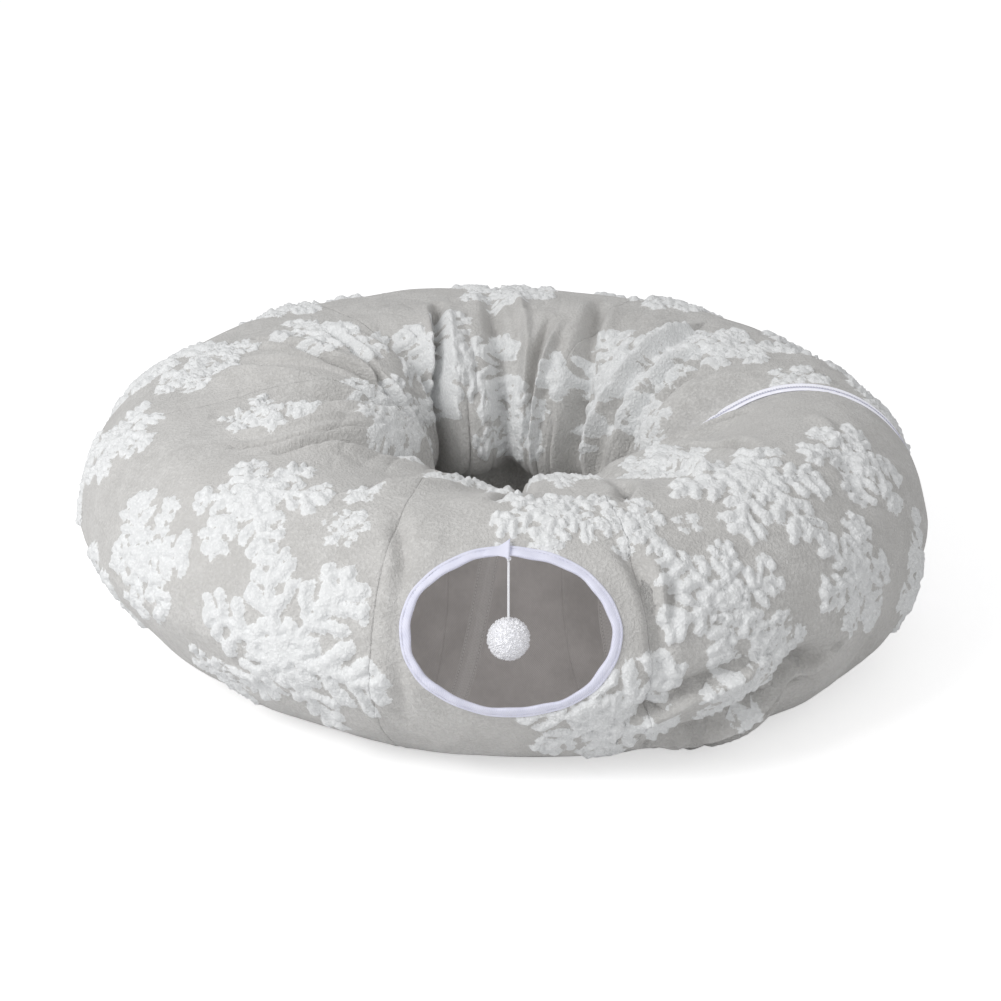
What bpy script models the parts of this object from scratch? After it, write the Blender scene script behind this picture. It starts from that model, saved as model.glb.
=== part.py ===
# Donut cat tunnel: a plush tube on a spiral of spring wire, closed into a ring
# by a zip, with a bound entrance, a hanging pompom and a soft mat in the middle.
# Metres, +Z up. The origin is on the floor at the middle of the ring, and the
# entrance faces -Y. Ring angles run round +Z from +X. Section angles run from
# the outside of the ring (0) over the crest (90) to the inside (180).

import math

import bmesh
import bpy
from mathutils import Matrix, Vector

# Tube and ring
ring_radius = 0.318
tube_radius = 0.126
floor_half_angle = 18.0
floor_cut = 0.0005
row_angle = 18.0
column_angle = 7.0
lining_half_column = 1.1 * column_angle
fabric_gap = 0.0003

# The ring lies a little oval, and its outer wall is tucked under at the floor,
# most on the side away from the join
oval_share = 0.025
oval_angle = 30.0
tuck_depth = 0.044

# Fabrics
cover_thickness = 0.003
lining_thickness = 0.0012

# Loose folds on the inside of the ring. They begin lower down where the fabric
# is drawn tight along the front, sag further in on the left and less on the right.
fold_reach = 0.050
fold_depth = 0.034
fold_start = 84.0
fold_peak = 172.0
fold_end = 272.0
tight_delay = 38.0
tight_from = 226.0
tight_to = 248.0
loose_from = 345.0
loose_to = 372.0
sag_reach = 0.030
sag_angle = 190.0
sag_half_angle = 80.0
sag_start = 96.0
sag_end = 201.0
ease_reach = 0.012
ease_angle = 15.0
ease_half_angle = 60.0

# The seam of the join draws the folds in
join_pinch = 7.0
join_pinch_start = 122.0
join_pinch_end = 240.0

# Seams between the sewn panels, as ring angles
front_angle = 270.0
front_half_angle = 16.0
join_angle = 358.0

# Spiral spring
wire_radius = 0.00125
wire_turns = 10
wire_points_per_turn = 24
wire_phase = 265.0
wire_lean = 4.0
wire_end_margin = 1.5
wire_slack = 0.001
channel_width = 0.020
channel_thickness = 0.0008
cap_length = 0.010
cap_wall = 0.0008

# Entrance
entrance_width = 0.176
entrance_height = 0.137
entrance_angle = 24.5
entrance_steps = 48
binding_web = 0.003
binding_overlap = 0.006
binding_wall = 0.0012
tab_width = 0.012
tab_length = 0.014
tab_thickness = 0.0012

# Hanging toy
knot_radius = 0.0026
toy_cord_radius = 0.00115
toy_cord_length = 0.056
pompom_radius = 0.020

# Zip across the join
zip_low_angle = -52.0
zip_high_angle = 154.0
zip_width = 0.0065
coil_width = 0.0036
coil_rise = 0.0012
coil_depth = 0.0020
zip_tape_thickness = 0.0010
stop_length = 0.0026
slider_angle = -30.0
slider_length = 0.012
slider_width = 0.0084
slider_wall = 0.0012
slider_clearance = 0.0006
bail_span = 0.0090
bail_width = 0.0016
bail_height = 0.0036
bail_wall = 0.0009
pull_width = 0.0066
pull_length = 0.024
pull_thickness = 0.0011
pull_window_width = 0.0034
pull_window_length = 0.0070

# Mat
mat_crown = 0.065
mat_cover_thickness = 0.003
mat_base_thickness = 0.0015
mat_clearance = 0.0005
mat_roundness = 2.2
mat_fullness = 0.6
mat_segments = 40
mat_rings = 8
filling_segments = 24
filling_rings = 5

tube_height = tube_radius * math.cos(math.radians(floor_half_angle)) - floor_cut
fabric_stack = cover_thickness + fabric_gap + lining_thickness
front_start = front_angle - front_half_angle
front_stop = front_angle + front_half_angle


def radians_sin(angle):
    return math.sin(math.radians(angle))


def radians_cos(angle):
    return math.cos(math.radians(angle))


def oval_factor(around):
    lean = radians_cos(2 * (around - oval_angle)) - radians_cos(2 * (join_angle - oval_angle))
    return 1 - oval_share * lean


# Every fabric and the spring are laid out on a true ring and then moulded to the
# shape in which the ring lies. Nothing moves at the join or on the floor's height.
def moulded(point):
    reach = math.hypot(point[0], point[1])
    around = math.degrees(math.atan2(point[1], point[0]))
    outer_share = (reach - ring_radius + tube_radius) / (2 * tube_radius)
    low_share = 1 - point[2] / tube_height
    side_share = (1 - radians_cos(around - join_angle)) / 2
    tuck = tuck_depth * side_share * min(max(outer_share, 0), 1) * min(max(low_share, 0), 1)
    scale = oval_factor(around) - tuck / max(reach, fabric_gap)
    return Vector((point[0] * scale, point[1] * scale, point[2]))


def material(name, colour, roughness, metallic=0.0):
    made = bpy.data.materials.new(name)
    made.use_nodes = True
    surface = made.node_tree.nodes["Principled BSDF"]
    surface.inputs["Base Color"].default_value = (*colour, 1.0)
    surface.inputs["Roughness"].default_value = roughness
    surface.inputs["Metallic"].default_value = metallic
    made.diffuse_color = (*colour, 1.0)
    return made


def add_object(name, data, look, smooth=True):
    made = bpy.data.objects.new(name, data)
    bpy.context.collection.objects.link(made)
    data.materials.append(look)
    if smooth and made.type == "MESH":
        data.shade_smooth()
        data.set_sharp_from_angle(angle=math.radians(40))
    return made


def mesh_object(name, bm, look, smooth=True):
    bmesh.ops.recalc_face_normals(bm, faces=bm.faces)
    data = bpy.data.meshes.new(name)
    bm.to_mesh(data)
    bm.free()
    return add_object(name, data, look, smooth)


def hide_cutter(cutter):
    cutter.hide_render = True
    cutter.display_type = "WIRE"


def boolean(target, tool, operation):
    hide_cutter(tool)
    change = target.modifiers.new(tool.name, "BOOLEAN")
    change.object = tool
    change.operation = operation
    change.solver = "EXACT"


def put_empty(name, place):
    empty = bpy.data.objects.new(name, None)
    empty.location = place
    empty.empty_display_size = pompom_radius
    bpy.context.collection.objects.link(empty)
    return empty


def hang_on(child, parent):
    child.parent = parent
    child.matrix_parent_inverse = parent.matrix_world.inverted()


# A closed loop of edges is extruded from place to place along a list of loops.
def sweep(bm, loops):
    count = len(loops[0])
    first = [bm.verts.new(point) for point in loops[0]]
    edges = [bm.edges.new((first[i], first[(i + 1) % count])) for i in range(count)]
    last = first
    for loop in loops[1:]:
        order = {corner: i for i, corner in enumerate(last)}
        grown = bmesh.ops.extrude_edge_only(bm, edges=edges)["geom"]
        placed = {}
        for corner in (item for item in grown if isinstance(item, bmesh.types.BMVert)):
            for edge in corner.link_edges:
                old = edge.other_vert(corner)
                if old in order:
                    placed[order[old]] = corner
        last = [placed[i] for i in range(count)]
        for corner, point in zip(last, loop):
            corner.co = point
        edges = [bm.edges.get((last[i], last[(i + 1) % count])) for i in range(count)]
    return first, last


def capped_sweep(bm, loops):
    for ring in sweep(bm, loops):
        bm.faces.new(ring)


# Two loops of as many corners are joined by a strip of faces.
def strip(bm, one, other):
    count = len(one)
    for i in range(count):
        following = (i + 1) % count
        bm.faces.new((one[i], one[following], other[following], other[i]))


# A profile of radius and height pairs is turned a whole circle about Z.
def turned(bm, profile, steps):
    corners = [bm.verts.new((radius, 0, height)) for radius, height in profile]
    edges = [bm.edges.new(pair) for pair in zip(corners, corners[1:])]
    bmesh.ops.spin(bm, geom=corners + edges, cent=(0, 0, 0), axis=(0, 0, 1),
                   angle=math.tau, steps=steps, use_merge=True)
    bmesh.ops.remove_doubles(bm, verts=bm.verts, dist=0.1 * fabric_gap)


# Rises smoothly from 0 at one angle to 1 at another.
def smooth_rise(low, high, angle):
    share = min(max((angle - low) / (high - low), 0), 1)
    return share * share * (3 - 2 * share)


# Swells from 0 at one angle to 1 at its peak and back to 0 at another.
def hump(low, peak, high, angle):
    if low <= angle <= peak:
        return radians_sin(90 * (angle - low) / (peak - low)) ** 2
    if peak < angle <= high:
        return radians_sin(90 * (high - angle) / (high - peak)) ** 2
    return 0.0


def fold_begin(around):
    turn = (around - 180) % 360 + 180
    tight = smooth_rise(tight_from, tight_to, turn) - smooth_rise(loose_from, loose_to, turn)
    return fold_start + tight_delay * tight


# How much further in the folds hang on the left, and less far on the right.
def sag_depth(around):
    to_left = (around - sag_angle + 180) % 360 - 180
    to_right = (around - ease_angle + 180) % 360 - 180
    left = hump(-sag_half_angle, 0, sag_half_angle, to_left)
    right = hump(-ease_half_angle, 0, ease_half_angle, to_right)
    return sag_reach * left - ease_reach * right


# The spiral walks once round the ring in all its turns and leans at the outside.
def wire_ring_angle(section):
    lean = wire_lean * radians_cos(section / 2) ** 2
    return wire_phase - (section - 180) / wire_turns + lean


# The lining's flats stand out this far on the inside of the ring, and the cover
# lies over them.
def lining_ride(section):
    flat = ring_radius * (1 - radians_cos(lining_half_column))
    return flat * max(radians_sin(section - 90 + row_angle / 2), 0)


# The fabric is drawn in at each turn of wire and falls in a fold between turns.
def fold_radius(around, section):
    turn = section % 360
    between = abs(radians_sin(wire_turns / 2 * (around - wire_ring_angle(section))))
    fold = hump(fold_begin(around), fold_peak, fold_end, turn) * (fold_reach + fold_depth * between)
    fold += hump(sag_start, fold_peak, sag_end, turn) * sag_depth(around)
    from_join = (around - join_angle + 180) % 360 - 180
    fade = min(max((join_pinch_end - turn) / (join_pinch_end - join_pinch_start), 0), 1)
    pinch = 1 - fade * math.exp(-(from_join / join_pinch) ** 2)
    return tube_radius + max(pinch * fold, 0)


def cover_radius(around, section):
    return max(fold_radius(around, section), tube_radius + lining_ride(section))


def plain_radius(around, section):
    return tube_radius


# One loop round the tube, at a depth under the outer surface. The floor cuts it
# flat, and shift moves it along the ring to leave a gap or the zip's slot.
def tube_loop(around, rows, radius_at, depth, shift_at=None):
    loop = []
    for section in rows:
        radius = radius_at(around, section) - depth
        reach = ring_radius + radius * radians_cos(section)
        height = max(tube_height + radius * radians_sin(section), depth)
        angle = math.radians(around)
        if shift_at:
            angle += shift_at(section) / reach
        loop.append(moulded((reach * math.cos(angle), reach * math.sin(angle), height)))
    return loop


def seam_shift(section):
    return fabric_gap / 2


def join_shift(section):
    turn = (section + 180) % 360 - 180
    in_zip = zip_low_angle - row_angle / 2 <= turn <= zip_high_angle + row_angle / 2
    return zip_width / 2 + fabric_gap if in_zip else fabric_gap / 2


def panel_shell(bm, start, stop, columns, rows, radius_at, outer, inner):
    def shift_for(column):
        if column == 0:
            at_join = abs((start - join_angle) % 360) < 1
            return join_shift if at_join else seam_shift
        if column == columns:
            at_join = abs((stop - join_angle) % 360) < 1
            side = join_shift if at_join else seam_shift
            return lambda section: -side(section)
        return None

    ends = []
    for depth in (outer, inner):
        loops = []
        for column in range(columns + 1):
            around = start + (stop - start) * column / columns
            loops.append(tube_loop(around, rows, radius_at, depth, shift_for(column)))
        ends.append(sweep(bm, loops))
    for outer_loop, inner_loop in zip(*ends):
        strip(bm, outer_loop, inner_loop)


def coarse_rows():
    return [row_angle * i for i in range(round(360 / row_angle))]


# The front panel has closer rows about the entrance.
def front_rows():
    low = -2 * row_angle
    fine = [low + row_angle / 2 * i for i in range(14)]
    return fine + [90 + row_angle * i for i in range(13)]


# The lining has every other corner of the cover round the ring.
def column_pairs(start, stop):
    return round((stop - start) / column_angle / 2)


def panel_spans():
    rest = front_start + 360 - join_angle
    quarter = rest / 4
    spans = [("front_right", front_stop, join_angle)]
    sides = ("back_right", "back", "back_left", "front_left")
    for i, side in enumerate(sides):
        spans.append((side, join_angle + quarter * i, join_angle + quarter * (i + 1)))
    return spans


# Entrance frame: across the ring, up the tube's face, and out of the tube.
entrance_out = Vector((0, -radians_cos(entrance_angle), radians_sin(entrance_angle)))
entrance_up = Vector((0, radians_sin(entrance_angle), radians_cos(entrance_angle)))
entrance_across = Vector((1, 0, 0))
section_centre = Vector((0, -ring_radius, tube_height))


def on_tube(across, up, radius):
    near, far = 0.0, 2 * tube_radius
    base = section_centre + entrance_across * across + entrance_up * up
    for _ in range(50):
        middle = (near + far) / 2
        point = base + entrance_out * middle
        reach = math.hypot(point.x, point.y) - ring_radius
        if math.hypot(reach, point.z - tube_height) < radius:
            near = middle
        else:
            far = middle
    return moulded(base + entrance_out * near)


def oval(turn, offset):
    across = (entrance_width / 2 + offset) * math.cos(turn)
    up = (entrance_height / 2 + offset) * math.sin(turn)
    return across, up


def oval_prism(name, offset, look):
    bm = bmesh.new()
    loops = []
    for reach in (0.6 * tube_radius, 1.2 * tube_radius):
        loop = []
        for i in range(entrance_steps):
            across, up = oval(math.tau * i / entrance_steps, offset)
            flat = entrance_across * across + entrance_up * up
            loop.append(moulded(section_centre + flat + entrance_out * reach))
        loops.append(loop)
    capped_sweep(bm, loops)
    return mesh_object(name, bm, look, smooth=False)


def build_covers(look):
    hole = oval_prism("entrance_cutter", binding_web + fabric_gap, look)
    bm = bmesh.new()
    panel_shell(bm, front_start, front_stop, 8, front_rows(), cover_radius,
                0.0, cover_thickness)
    front = mesh_object("cover_front", bm, look)
    boolean(front, hole, "DIFFERENCE")
    for side, start, stop in panel_spans():
        bm = bmesh.new()
        columns = 2 * column_pairs(start, stop)
        panel_shell(bm, start, stop, columns, coarse_rows(), cover_radius,
                    0.0, cover_thickness)
        mesh_object("cover_" + side, bm, look)
    return hole


def build_linings(look, hole):
    outer = cover_thickness + fabric_gap
    bm = bmesh.new()
    panel_shell(bm, front_start, front_stop, 8, front_rows(), plain_radius,
                outer, fabric_stack)
    front = mesh_object("lining_front", bm, look)
    boolean(front, hole, "DIFFERENCE")
    for side, start, stop in panel_spans():
        bm = bmesh.new()
        columns = column_pairs(start, stop)
        panel_shell(bm, start, stop, columns, coarse_rows(), plain_radius,
                    outer, fabric_stack)
        mesh_object("lining_" + side, bm, look)


# The spring's loops fit inside the lining's flats, from the floor to the crown.
lining_sag = (ring_radius + tube_radius) * (1 - radians_cos(lining_half_column))
lining_flat = (tube_radius - fabric_stack) * radians_cos(row_angle / 2)
loop_limit = lining_flat - lining_sag - wire_slack - wire_radius
loop_floor = fabric_stack + fabric_gap + wire_radius
loop_radius = (loop_limit + tube_height - loop_floor) / 2
loop_height = loop_floor + loop_radius


def loop_frame(section):
    angle = math.radians(wire_ring_angle(section))
    outward = Vector((math.cos(angle), math.sin(angle), 0))
    radial = outward * radians_cos(section) + Vector((0, 0, radians_sin(section)))
    centre = outward * ring_radius + Vector((0, 0, loop_height))
    return centre + radial * loop_radius, radial


def wire_sections():
    start = 180 - wire_turns * (join_angle - wire_end_margin - wire_phase - wire_lean)
    stop = 180 + wire_turns * (wire_phase - join_angle + 360 - wire_end_margin)
    step = 360 / wire_points_per_turn
    count = math.floor((stop - start) / step)
    return [start + step * i for i in range(count + 1)]


def least_gap(points, diameter):
    least = math.inf
    apart = wire_points_per_turn // 2
    for i, point in enumerate(points):
        for other in points[i + apart:]:
            least = min(least, (point - other).length)
    return least - diameter


def tube_curve(name, points, radius, resolution, look):
    data = bpy.data.curves.new(name, "CURVE")
    data.dimensions = "3D"
    data.bevel_depth = radius
    data.bevel_resolution = resolution
    data.use_fill_caps = True
    data.render_resolution_u = 0
    line = data.splines.new("POLY")
    line.points.add(len(points) - 1)
    for spot, point in zip(line.points, points):
        spot.co = (*point, 1.0)
    return add_object(name, data, look)


def build_spring(wire_look, cap_look, channel_look):
    sections = wire_sections()
    points = [moulded(loop_frame(section)[0]) for section in sections]
    start_way = (points[0] - points[1]).normalized()
    stop_way = (points[-1] - points[-2]).normalized()
    first = points[0] + start_way * 2 * wire_radius
    last = points[-1] + stop_way * 2 * wire_radius
    path = [first] + points + [last]
    tube_curve("spring_wire", path, wire_radius, 1, wire_look)
    print("spring_wire least gap to itself", round(least_gap(points, 2 * wire_radius), 4))

    bore = wire_radius + fabric_gap
    shell = bore + cap_wall
    profile = [(0, fabric_gap), (bore, fabric_gap), (bore, -cap_length + cap_wall),
               (shell, -cap_length + cap_wall), (shell, cap_wall), (0, cap_wall)]
    for name, end, way in (("wire_cap_start", first, start_way), ("wire_cap_end", last, stop_way)):
        bm = bmesh.new()
        turned(bm, profile, 12)
        turn = Vector((0, 0, 1)).rotation_difference(way).to_matrix().to_4x4()
        bmesh.ops.transform(bm, matrix=Matrix.Translation(end) @ turn, verts=bm.verts)
        mesh_object(name, bm, cap_look)

    # The channel is a flat tape on the inner side of the wire, as wide round the ring.
    skip = 1 + math.ceil(cap_length / (math.tau * loop_radius / wire_points_per_turn))
    loops = []
    for i in range(skip, len(sections) - skip):
        place, radial = loop_frame(sections[i])
        angle = math.radians(wire_ring_angle(sections[i]))
        side = Vector((-math.sin(angle), math.cos(angle), 0)) * channel_width / 2
        top = place - radial * (wire_radius + 2 * fabric_gap)
        under = top - radial * channel_thickness
        corners = (top - side, top + side, under + side, under - side)
        loops.append([moulded(corner) for corner in corners])
    bm = bmesh.new()
    capped_sweep(bm, loops)
    mesh_object("wire_channel", bm, channel_look)


# The binding is folded over the cut edges: its outline is swept round the oval,
# and the slot that the fabrics fill is cut out of it.
def build_binding(look, tab_look):
    width_shares = (0.0, 0.0, 0.12, 0.88, 1.0, 1.0, 0.88, 0.12)
    depth_shares = (-0.6, 0.6, 1.0, 1.0, 0.7, -0.7, -1.0, -1.0)
    width = binding_web + binding_overlap
    half_depth = fabric_stack / 2 + fabric_gap + binding_wall
    middle = tube_radius - fabric_stack / 2
    loops = []
    for i in range(entrance_steps):
        turn = math.tau * (i + 0.5) / entrance_steps
        loop = []
        for across_share, depth_share in zip(width_shares, depth_shares):
            across, up = oval(turn, across_share * width)
            loop.append(on_tube(across, up, middle + depth_share * half_depth))
        loops.append(loop)
    bm = bmesh.new()
    first, last = sweep(bm, loops)
    strip(bm, last, first)
    binding = mesh_object("entrance_binding", bm, look)

    bm = bmesh.new()
    panel_shell(bm, front_start, front_stop, 8, front_rows(), plain_radius,
                -fabric_gap, fabric_stack + fabric_gap)
    slot = mesh_object("binding_slot", bm, look)
    boolean(slot, oval_prism("slot_core", binding_web, look), "DIFFERENCE")
    boolean(binding, slot, "DIFFERENCE")

    # The tape's end laps over its start at the top and is turned under to a point.
    across_shares = (-0.5, 0.5, 0.5, 0.0, -0.5)
    up_shares = (1.0, 1.0, 0.3, 0.0, 0.3)
    lift = middle + half_depth + 2 * fabric_gap
    foot = entrance_height / 2 + width / 4
    loops = []
    for depth in (lift, lift + tab_thickness):
        loop = []
        for across_share, up_share in zip(across_shares, up_shares):
            loop.append(on_tube(across_share * tab_width, foot + up_share * tab_length, depth))
        loops.append(loop)
    bm = bmesh.new()
    capped_sweep(bm, loops)
    mesh_object("binding_lap", bm, tab_look, smooth=False)


def build_toy(cord_look, pompom_look):
    edge = on_tube(0, entrance_height / 2, tube_radius - fabric_stack / 2)
    pivot = edge - entrance_up * (knot_radius + fabric_gap)
    hook = put_empty("toy_pivot", pivot)
    bpy.context.view_layer.update()

    bm = bmesh.new()
    bmesh.ops.create_icosphere(bm, subdivisions=2, radius=knot_radius,
                               matrix=Matrix.Translation(pivot))
    hang_on(mesh_object("toy_knot", bm, cord_look), hook)

    down = Vector((0, 0, -1))
    top = pivot + down * (knot_radius + fabric_gap)
    steps = 14
    points = [top + down * toy_cord_length * i / steps for i in range(steps + 1)]
    hang_on(tube_curve("toy_cord", points, toy_cord_radius, 2, cord_look), hook)

    middle = points[-1] + down * (pompom_radius + fabric_gap)
    bm = bmesh.new()
    bmesh.ops.create_icosphere(bm, subdivisions=3, radius=pompom_radius,
                               matrix=Matrix.Translation(middle))
    hang_on(mesh_object("pompom", bm, pompom_look), hook)
    print("toy pivot", [round(value, 5) for value in pivot])


# Frame of the join: outward and along the ring, and a point on its section.
join_out = Vector((radians_cos(join_angle), radians_sin(join_angle), 0))
join_along = Vector((-radians_sin(join_angle), radians_cos(join_angle), 0))
join_centre = join_out * ring_radius + Vector((0, 0, tube_height))


def join_point(section, rise, side):
    radius = fold_radius(join_angle, section) + rise
    reach = join_out * radius * radians_cos(section)
    height = Vector((0, 0, radius * radians_sin(section)))
    return moulded(join_centre + reach + height) + join_along * side


def arc_band(bm, low, high, steps, sides, rises):
    loops = []
    for i in range(steps + 1):
        section = low + (high - low) * i / steps
        corners = ((sides[0], rises[0]), (sides[1], rises[0]),
                   (sides[1], rises[1]), (sides[0], rises[1]))
        loops.append([join_point(section, rise, side) for side, rise in corners])
    capped_sweep(bm, loops)


def build_zip(tape_look, coil_look):
    steps = 22
    inner = coil_width / 2 + fabric_gap
    outer = zip_width / 2
    rises = (-fabric_gap - zip_tape_thickness, -fabric_gap)
    for name, sides in (("zip_tape_front", (-outer, -inner)), ("zip_tape_back", (inner, outer))):
        bm = bmesh.new()
        arc_band(bm, zip_low_angle, zip_high_angle, steps, sides, rises)
        mesh_object(name, bm, tape_look)
    stop_angle = math.degrees(stop_length / tube_radius)
    spare = math.degrees(fabric_gap / tube_radius)
    low = zip_low_angle + stop_angle + spare
    high = zip_high_angle - stop_angle - spare
    half = coil_width / 2
    rises = (-coil_depth, coil_rise)
    bm = bmesh.new()
    arc_band(bm, low, high, steps, (-half, half), rises)
    mesh_object("zip_coil", bm, coil_look)
    ends = (("zip_stop_low", zip_low_angle, zip_low_angle + stop_angle),
            ("zip_stop_high", zip_high_angle - stop_angle, zip_high_angle))
    for name, low, high in ends:
        bm = bmesh.new()
        arc_band(bm, low, high, 1, (-half, half), rises)
        mesh_object(name, bm, coil_look)


# Slider frame: across the zip, up along it, and out from the tube.
def slider_matrix():
    along = join_out * -radians_sin(slider_angle) + Vector((0, 0, radians_cos(slider_angle)))
    out = join_out * radians_cos(slider_angle) + Vector((0, 0, radians_sin(slider_angle)))
    turn = Matrix((join_along, along, out)).transposed().to_4x4()
    return Matrix.Translation(join_point(slider_angle, 0, 0)) @ turn


def extruded(bm, outline, start, stop):
    loops = [[Vector(point) + start for point in outline],
             [Vector(point) + stop for point in outline]]
    capped_sweep(bm, loops)


def build_slider(look):
    frame = slider_matrix()
    travel = put_empty("slider_axis", join_centre)
    bpy.context.view_layer.update()

    half = slider_width / 2
    inner = coil_width / 2 + slider_clearance
    under = coil_rise + slider_clearance
    top = under + slider_wall
    foot = slider_clearance
    outline = [(-half, 0, foot), (-inner, 0, foot), (-inner, 0, under), (inner, 0, under),
               (inner, 0, foot), (half, 0, foot), (half, 0, top), (-half, 0, top)]
    reach = Vector((0, slider_length / 2, 0))
    bm = bmesh.new()
    extruded(bm, outline, -reach, reach)
    bmesh.ops.transform(bm, matrix=frame, verts=bm.verts)
    slider = mesh_object("zip_slider", bm, look, smooth=False)

    span = bail_span / 2
    opening = span - bail_wall
    crown = top + bail_height
    sunk = top - slider_wall / 2
    outline = [(0, -span, sunk), (0, -span, crown), (0, span, crown), (0, span, sunk),
               (0, opening, sunk), (0, opening, crown - bail_wall),
               (0, -opening, crown - bail_wall), (0, -opening, sunk)]
    side = Vector((bail_width / 2, 0, 0))
    bm = bmesh.new()
    extruded(bm, outline, -side, side)
    bmesh.ops.transform(bm, matrix=frame, verts=bm.verts)
    bail = mesh_object("slider_bail", bm, look, smooth=False)
    boolean(slider, bail, "UNION")
    hang_on(slider, travel)

    # The pull's end bar turns under the bail, and the pull hangs straight down.
    pivot_height = top + (bail_height - bail_wall) / 2
    pivot = frame @ Vector((0, 0, pivot_height))
    hinge = put_empty("pull_pivot", pivot)
    bpy.context.view_layer.update()
    half = pull_width / 2
    window = pull_window_width / 2
    bar = pull_thickness / 2
    outline = [(-half, 0, bar), (half, 0, bar), (half, 0, bar - pull_length),
               (-half, 0, bar - pull_length)]
    thick = Vector((0, pull_thickness / 2, 0))
    bm = bmesh.new()
    extruded(bm, outline, -thick, thick)
    turn = Matrix((join_along, join_out, Vector((0, 0, 1)))).transposed().to_4x4()
    place = Matrix.Translation(pivot) @ turn
    bmesh.ops.transform(bm, matrix=place, verts=bm.verts)
    pull = mesh_object("zip_pull", bm, look, smooth=False)
    outline = [(-window, 0, -bar), (window, 0, -bar), (window, 0, -bar - pull_window_length),
               (-window, 0, -bar - pull_window_length)]
    bm = bmesh.new()
    extruded(bm, outline, -2 * thick, 2 * thick)
    bmesh.ops.transform(bm, matrix=place, verts=bm.verts)
    boolean(pull, mesh_object("pull_window", bm, look, smooth=False), "DIFFERENCE")
    hang_on(pull, hinge)
    hang_on(hinge, travel)
    print("slider axis at", [round(value, 5) for value in join_centre],
          "along", [round(value, 5) for value in join_along])
    print("pull pivot", [round(value, 5) for value in pivot])


# The mat is as wide as the lowest corners of the folds round it leave room for.
def mat_share(height):
    return (1 - (height / mat_crown) ** (1 / mat_fullness)) ** (1 / mat_roundness)


def mat_radius():
    widest = ring_radius
    for side, start, stop in panel_spans():
        columns = 2 * column_pairs(start, stop)
        for column in range(columns + 1):
            around = start + (stop - start) * column / columns
            for corner in tube_loop(around, coarse_rows(), cover_radius, 0.0):
                reach = math.hypot(corner.x, corner.y)
                if corner.z < mat_crown:
                    widest = min(widest, (reach - mat_clearance) / mat_share(corner.z))
    return widest


def dome(radius, crown, base, rings):
    points = []
    for i in range(rings + 1):
        share = math.sin(math.pi / 2 * i / rings)
        rise = (1 - share ** mat_roundness) ** mat_fullness
        points.append((radius * share, max(crown * rise, base)))
    return points


def build_mat(plush_look, filling_look, base_look):
    radius = mat_radius()
    seat = mat_base_thickness + fabric_gap
    bm = bmesh.new()
    base = [(0, 0), (radius, 0), (radius, mat_base_thickness), (0, mat_base_thickness)]
    turned(bm, base, mat_segments)
    mesh_object("mat_base", bm, base_look)

    outer = dome(radius, mat_crown, seat, mat_rings)
    inner_radius = radius - mat_cover_thickness
    inner = dome(inner_radius, mat_crown - mat_cover_thickness, seat, mat_rings)
    bm = bmesh.new()
    turned(bm, outer + inner[::-1], mat_segments)
    mesh_object("mat_top", bm, plush_look)

    spare = mat_cover_thickness + 4 * fabric_gap
    fill_radius = radius - 2 * spare
    fill = dome(fill_radius, mat_crown - spare, seat, filling_rings)
    bm = bmesh.new()
    turned(bm, fill + [(0, seat)], filling_segments)
    mesh_object("mat_filling", bm, filling_look)
    print("mat radius", round(radius, 4))


def main():
    for item in list(bpy.data.objects):
        bpy.data.objects.remove(item, do_unlink=True)
    plush = material("plush", (0.60, 0.59, 0.57), 0.95)
    lining = material("lining", (0.19, 0.18, 0.17), 0.8)
    channel = material("channel_tape", (0.17, 0.16, 0.155), 0.8)
    tape = material("binding_tape", (0.74, 0.75, 0.90), 0.7)
    steel = material("spring_steel", (0.55, 0.56, 0.58), 0.35, 1.0)
    plastic = material("black_plastic", (0.03, 0.03, 0.03), 0.45)
    coil = material("zip_coil", (0.76, 0.77, 0.86), 0.5)
    nickel = material("zip_metal", (0.72, 0.72, 0.74), 0.3, 1.0)
    white = material("white_yarn", (0.86, 0.87, 0.88), 0.9)
    filling = material("polyester_filling", (0.85, 0.85, 0.84), 0.95)
    base = material("base_cloth", (0.16, 0.16, 0.16), 0.85)

    hole = build_covers(plush)
    build_linings(lining, hole)
    build_spring(steel, plastic, channel)
    build_binding(tape, tape)
    build_toy(white, white)
    build_zip(tape, coil)
    build_slider(nickel)
    build_mat(plush, filling, base)


main()
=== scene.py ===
# Looks of the donut cat tunnel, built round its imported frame. Metres, +Z up,
# entrance towards -Y. Ring angles run round +Z from +X, and section angles run
# from the outside of the tube (0) over its crest (90) to its inside (180).

import math
import random

import bmesh
import bpy
import numpy as np
from mathutils import Matrix, Vector


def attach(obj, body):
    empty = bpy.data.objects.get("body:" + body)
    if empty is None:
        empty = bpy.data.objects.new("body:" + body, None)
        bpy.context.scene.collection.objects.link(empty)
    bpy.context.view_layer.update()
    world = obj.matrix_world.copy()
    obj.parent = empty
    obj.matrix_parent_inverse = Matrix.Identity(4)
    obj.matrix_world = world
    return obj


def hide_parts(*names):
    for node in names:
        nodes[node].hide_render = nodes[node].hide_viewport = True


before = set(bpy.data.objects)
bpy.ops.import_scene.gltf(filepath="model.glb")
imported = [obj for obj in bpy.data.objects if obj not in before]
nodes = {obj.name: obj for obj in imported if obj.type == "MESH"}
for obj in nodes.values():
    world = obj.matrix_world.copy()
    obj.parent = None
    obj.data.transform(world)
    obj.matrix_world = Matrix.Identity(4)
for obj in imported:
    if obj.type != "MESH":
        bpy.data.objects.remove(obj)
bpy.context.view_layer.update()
scene = bpy.context.scene
print("frame loaded, nodes:", len(nodes))


def addObject(name, data):
    obj = bpy.data.objects.new(name, data)
    scene.collection.objects.link(obj)
    return obj


def aim(obj, place, target):
    obj.location = place
    obj.rotation_euler = (Vector(target) - Vector(place)).to_track_quat("-Z", "Y").to_euler()


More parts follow.
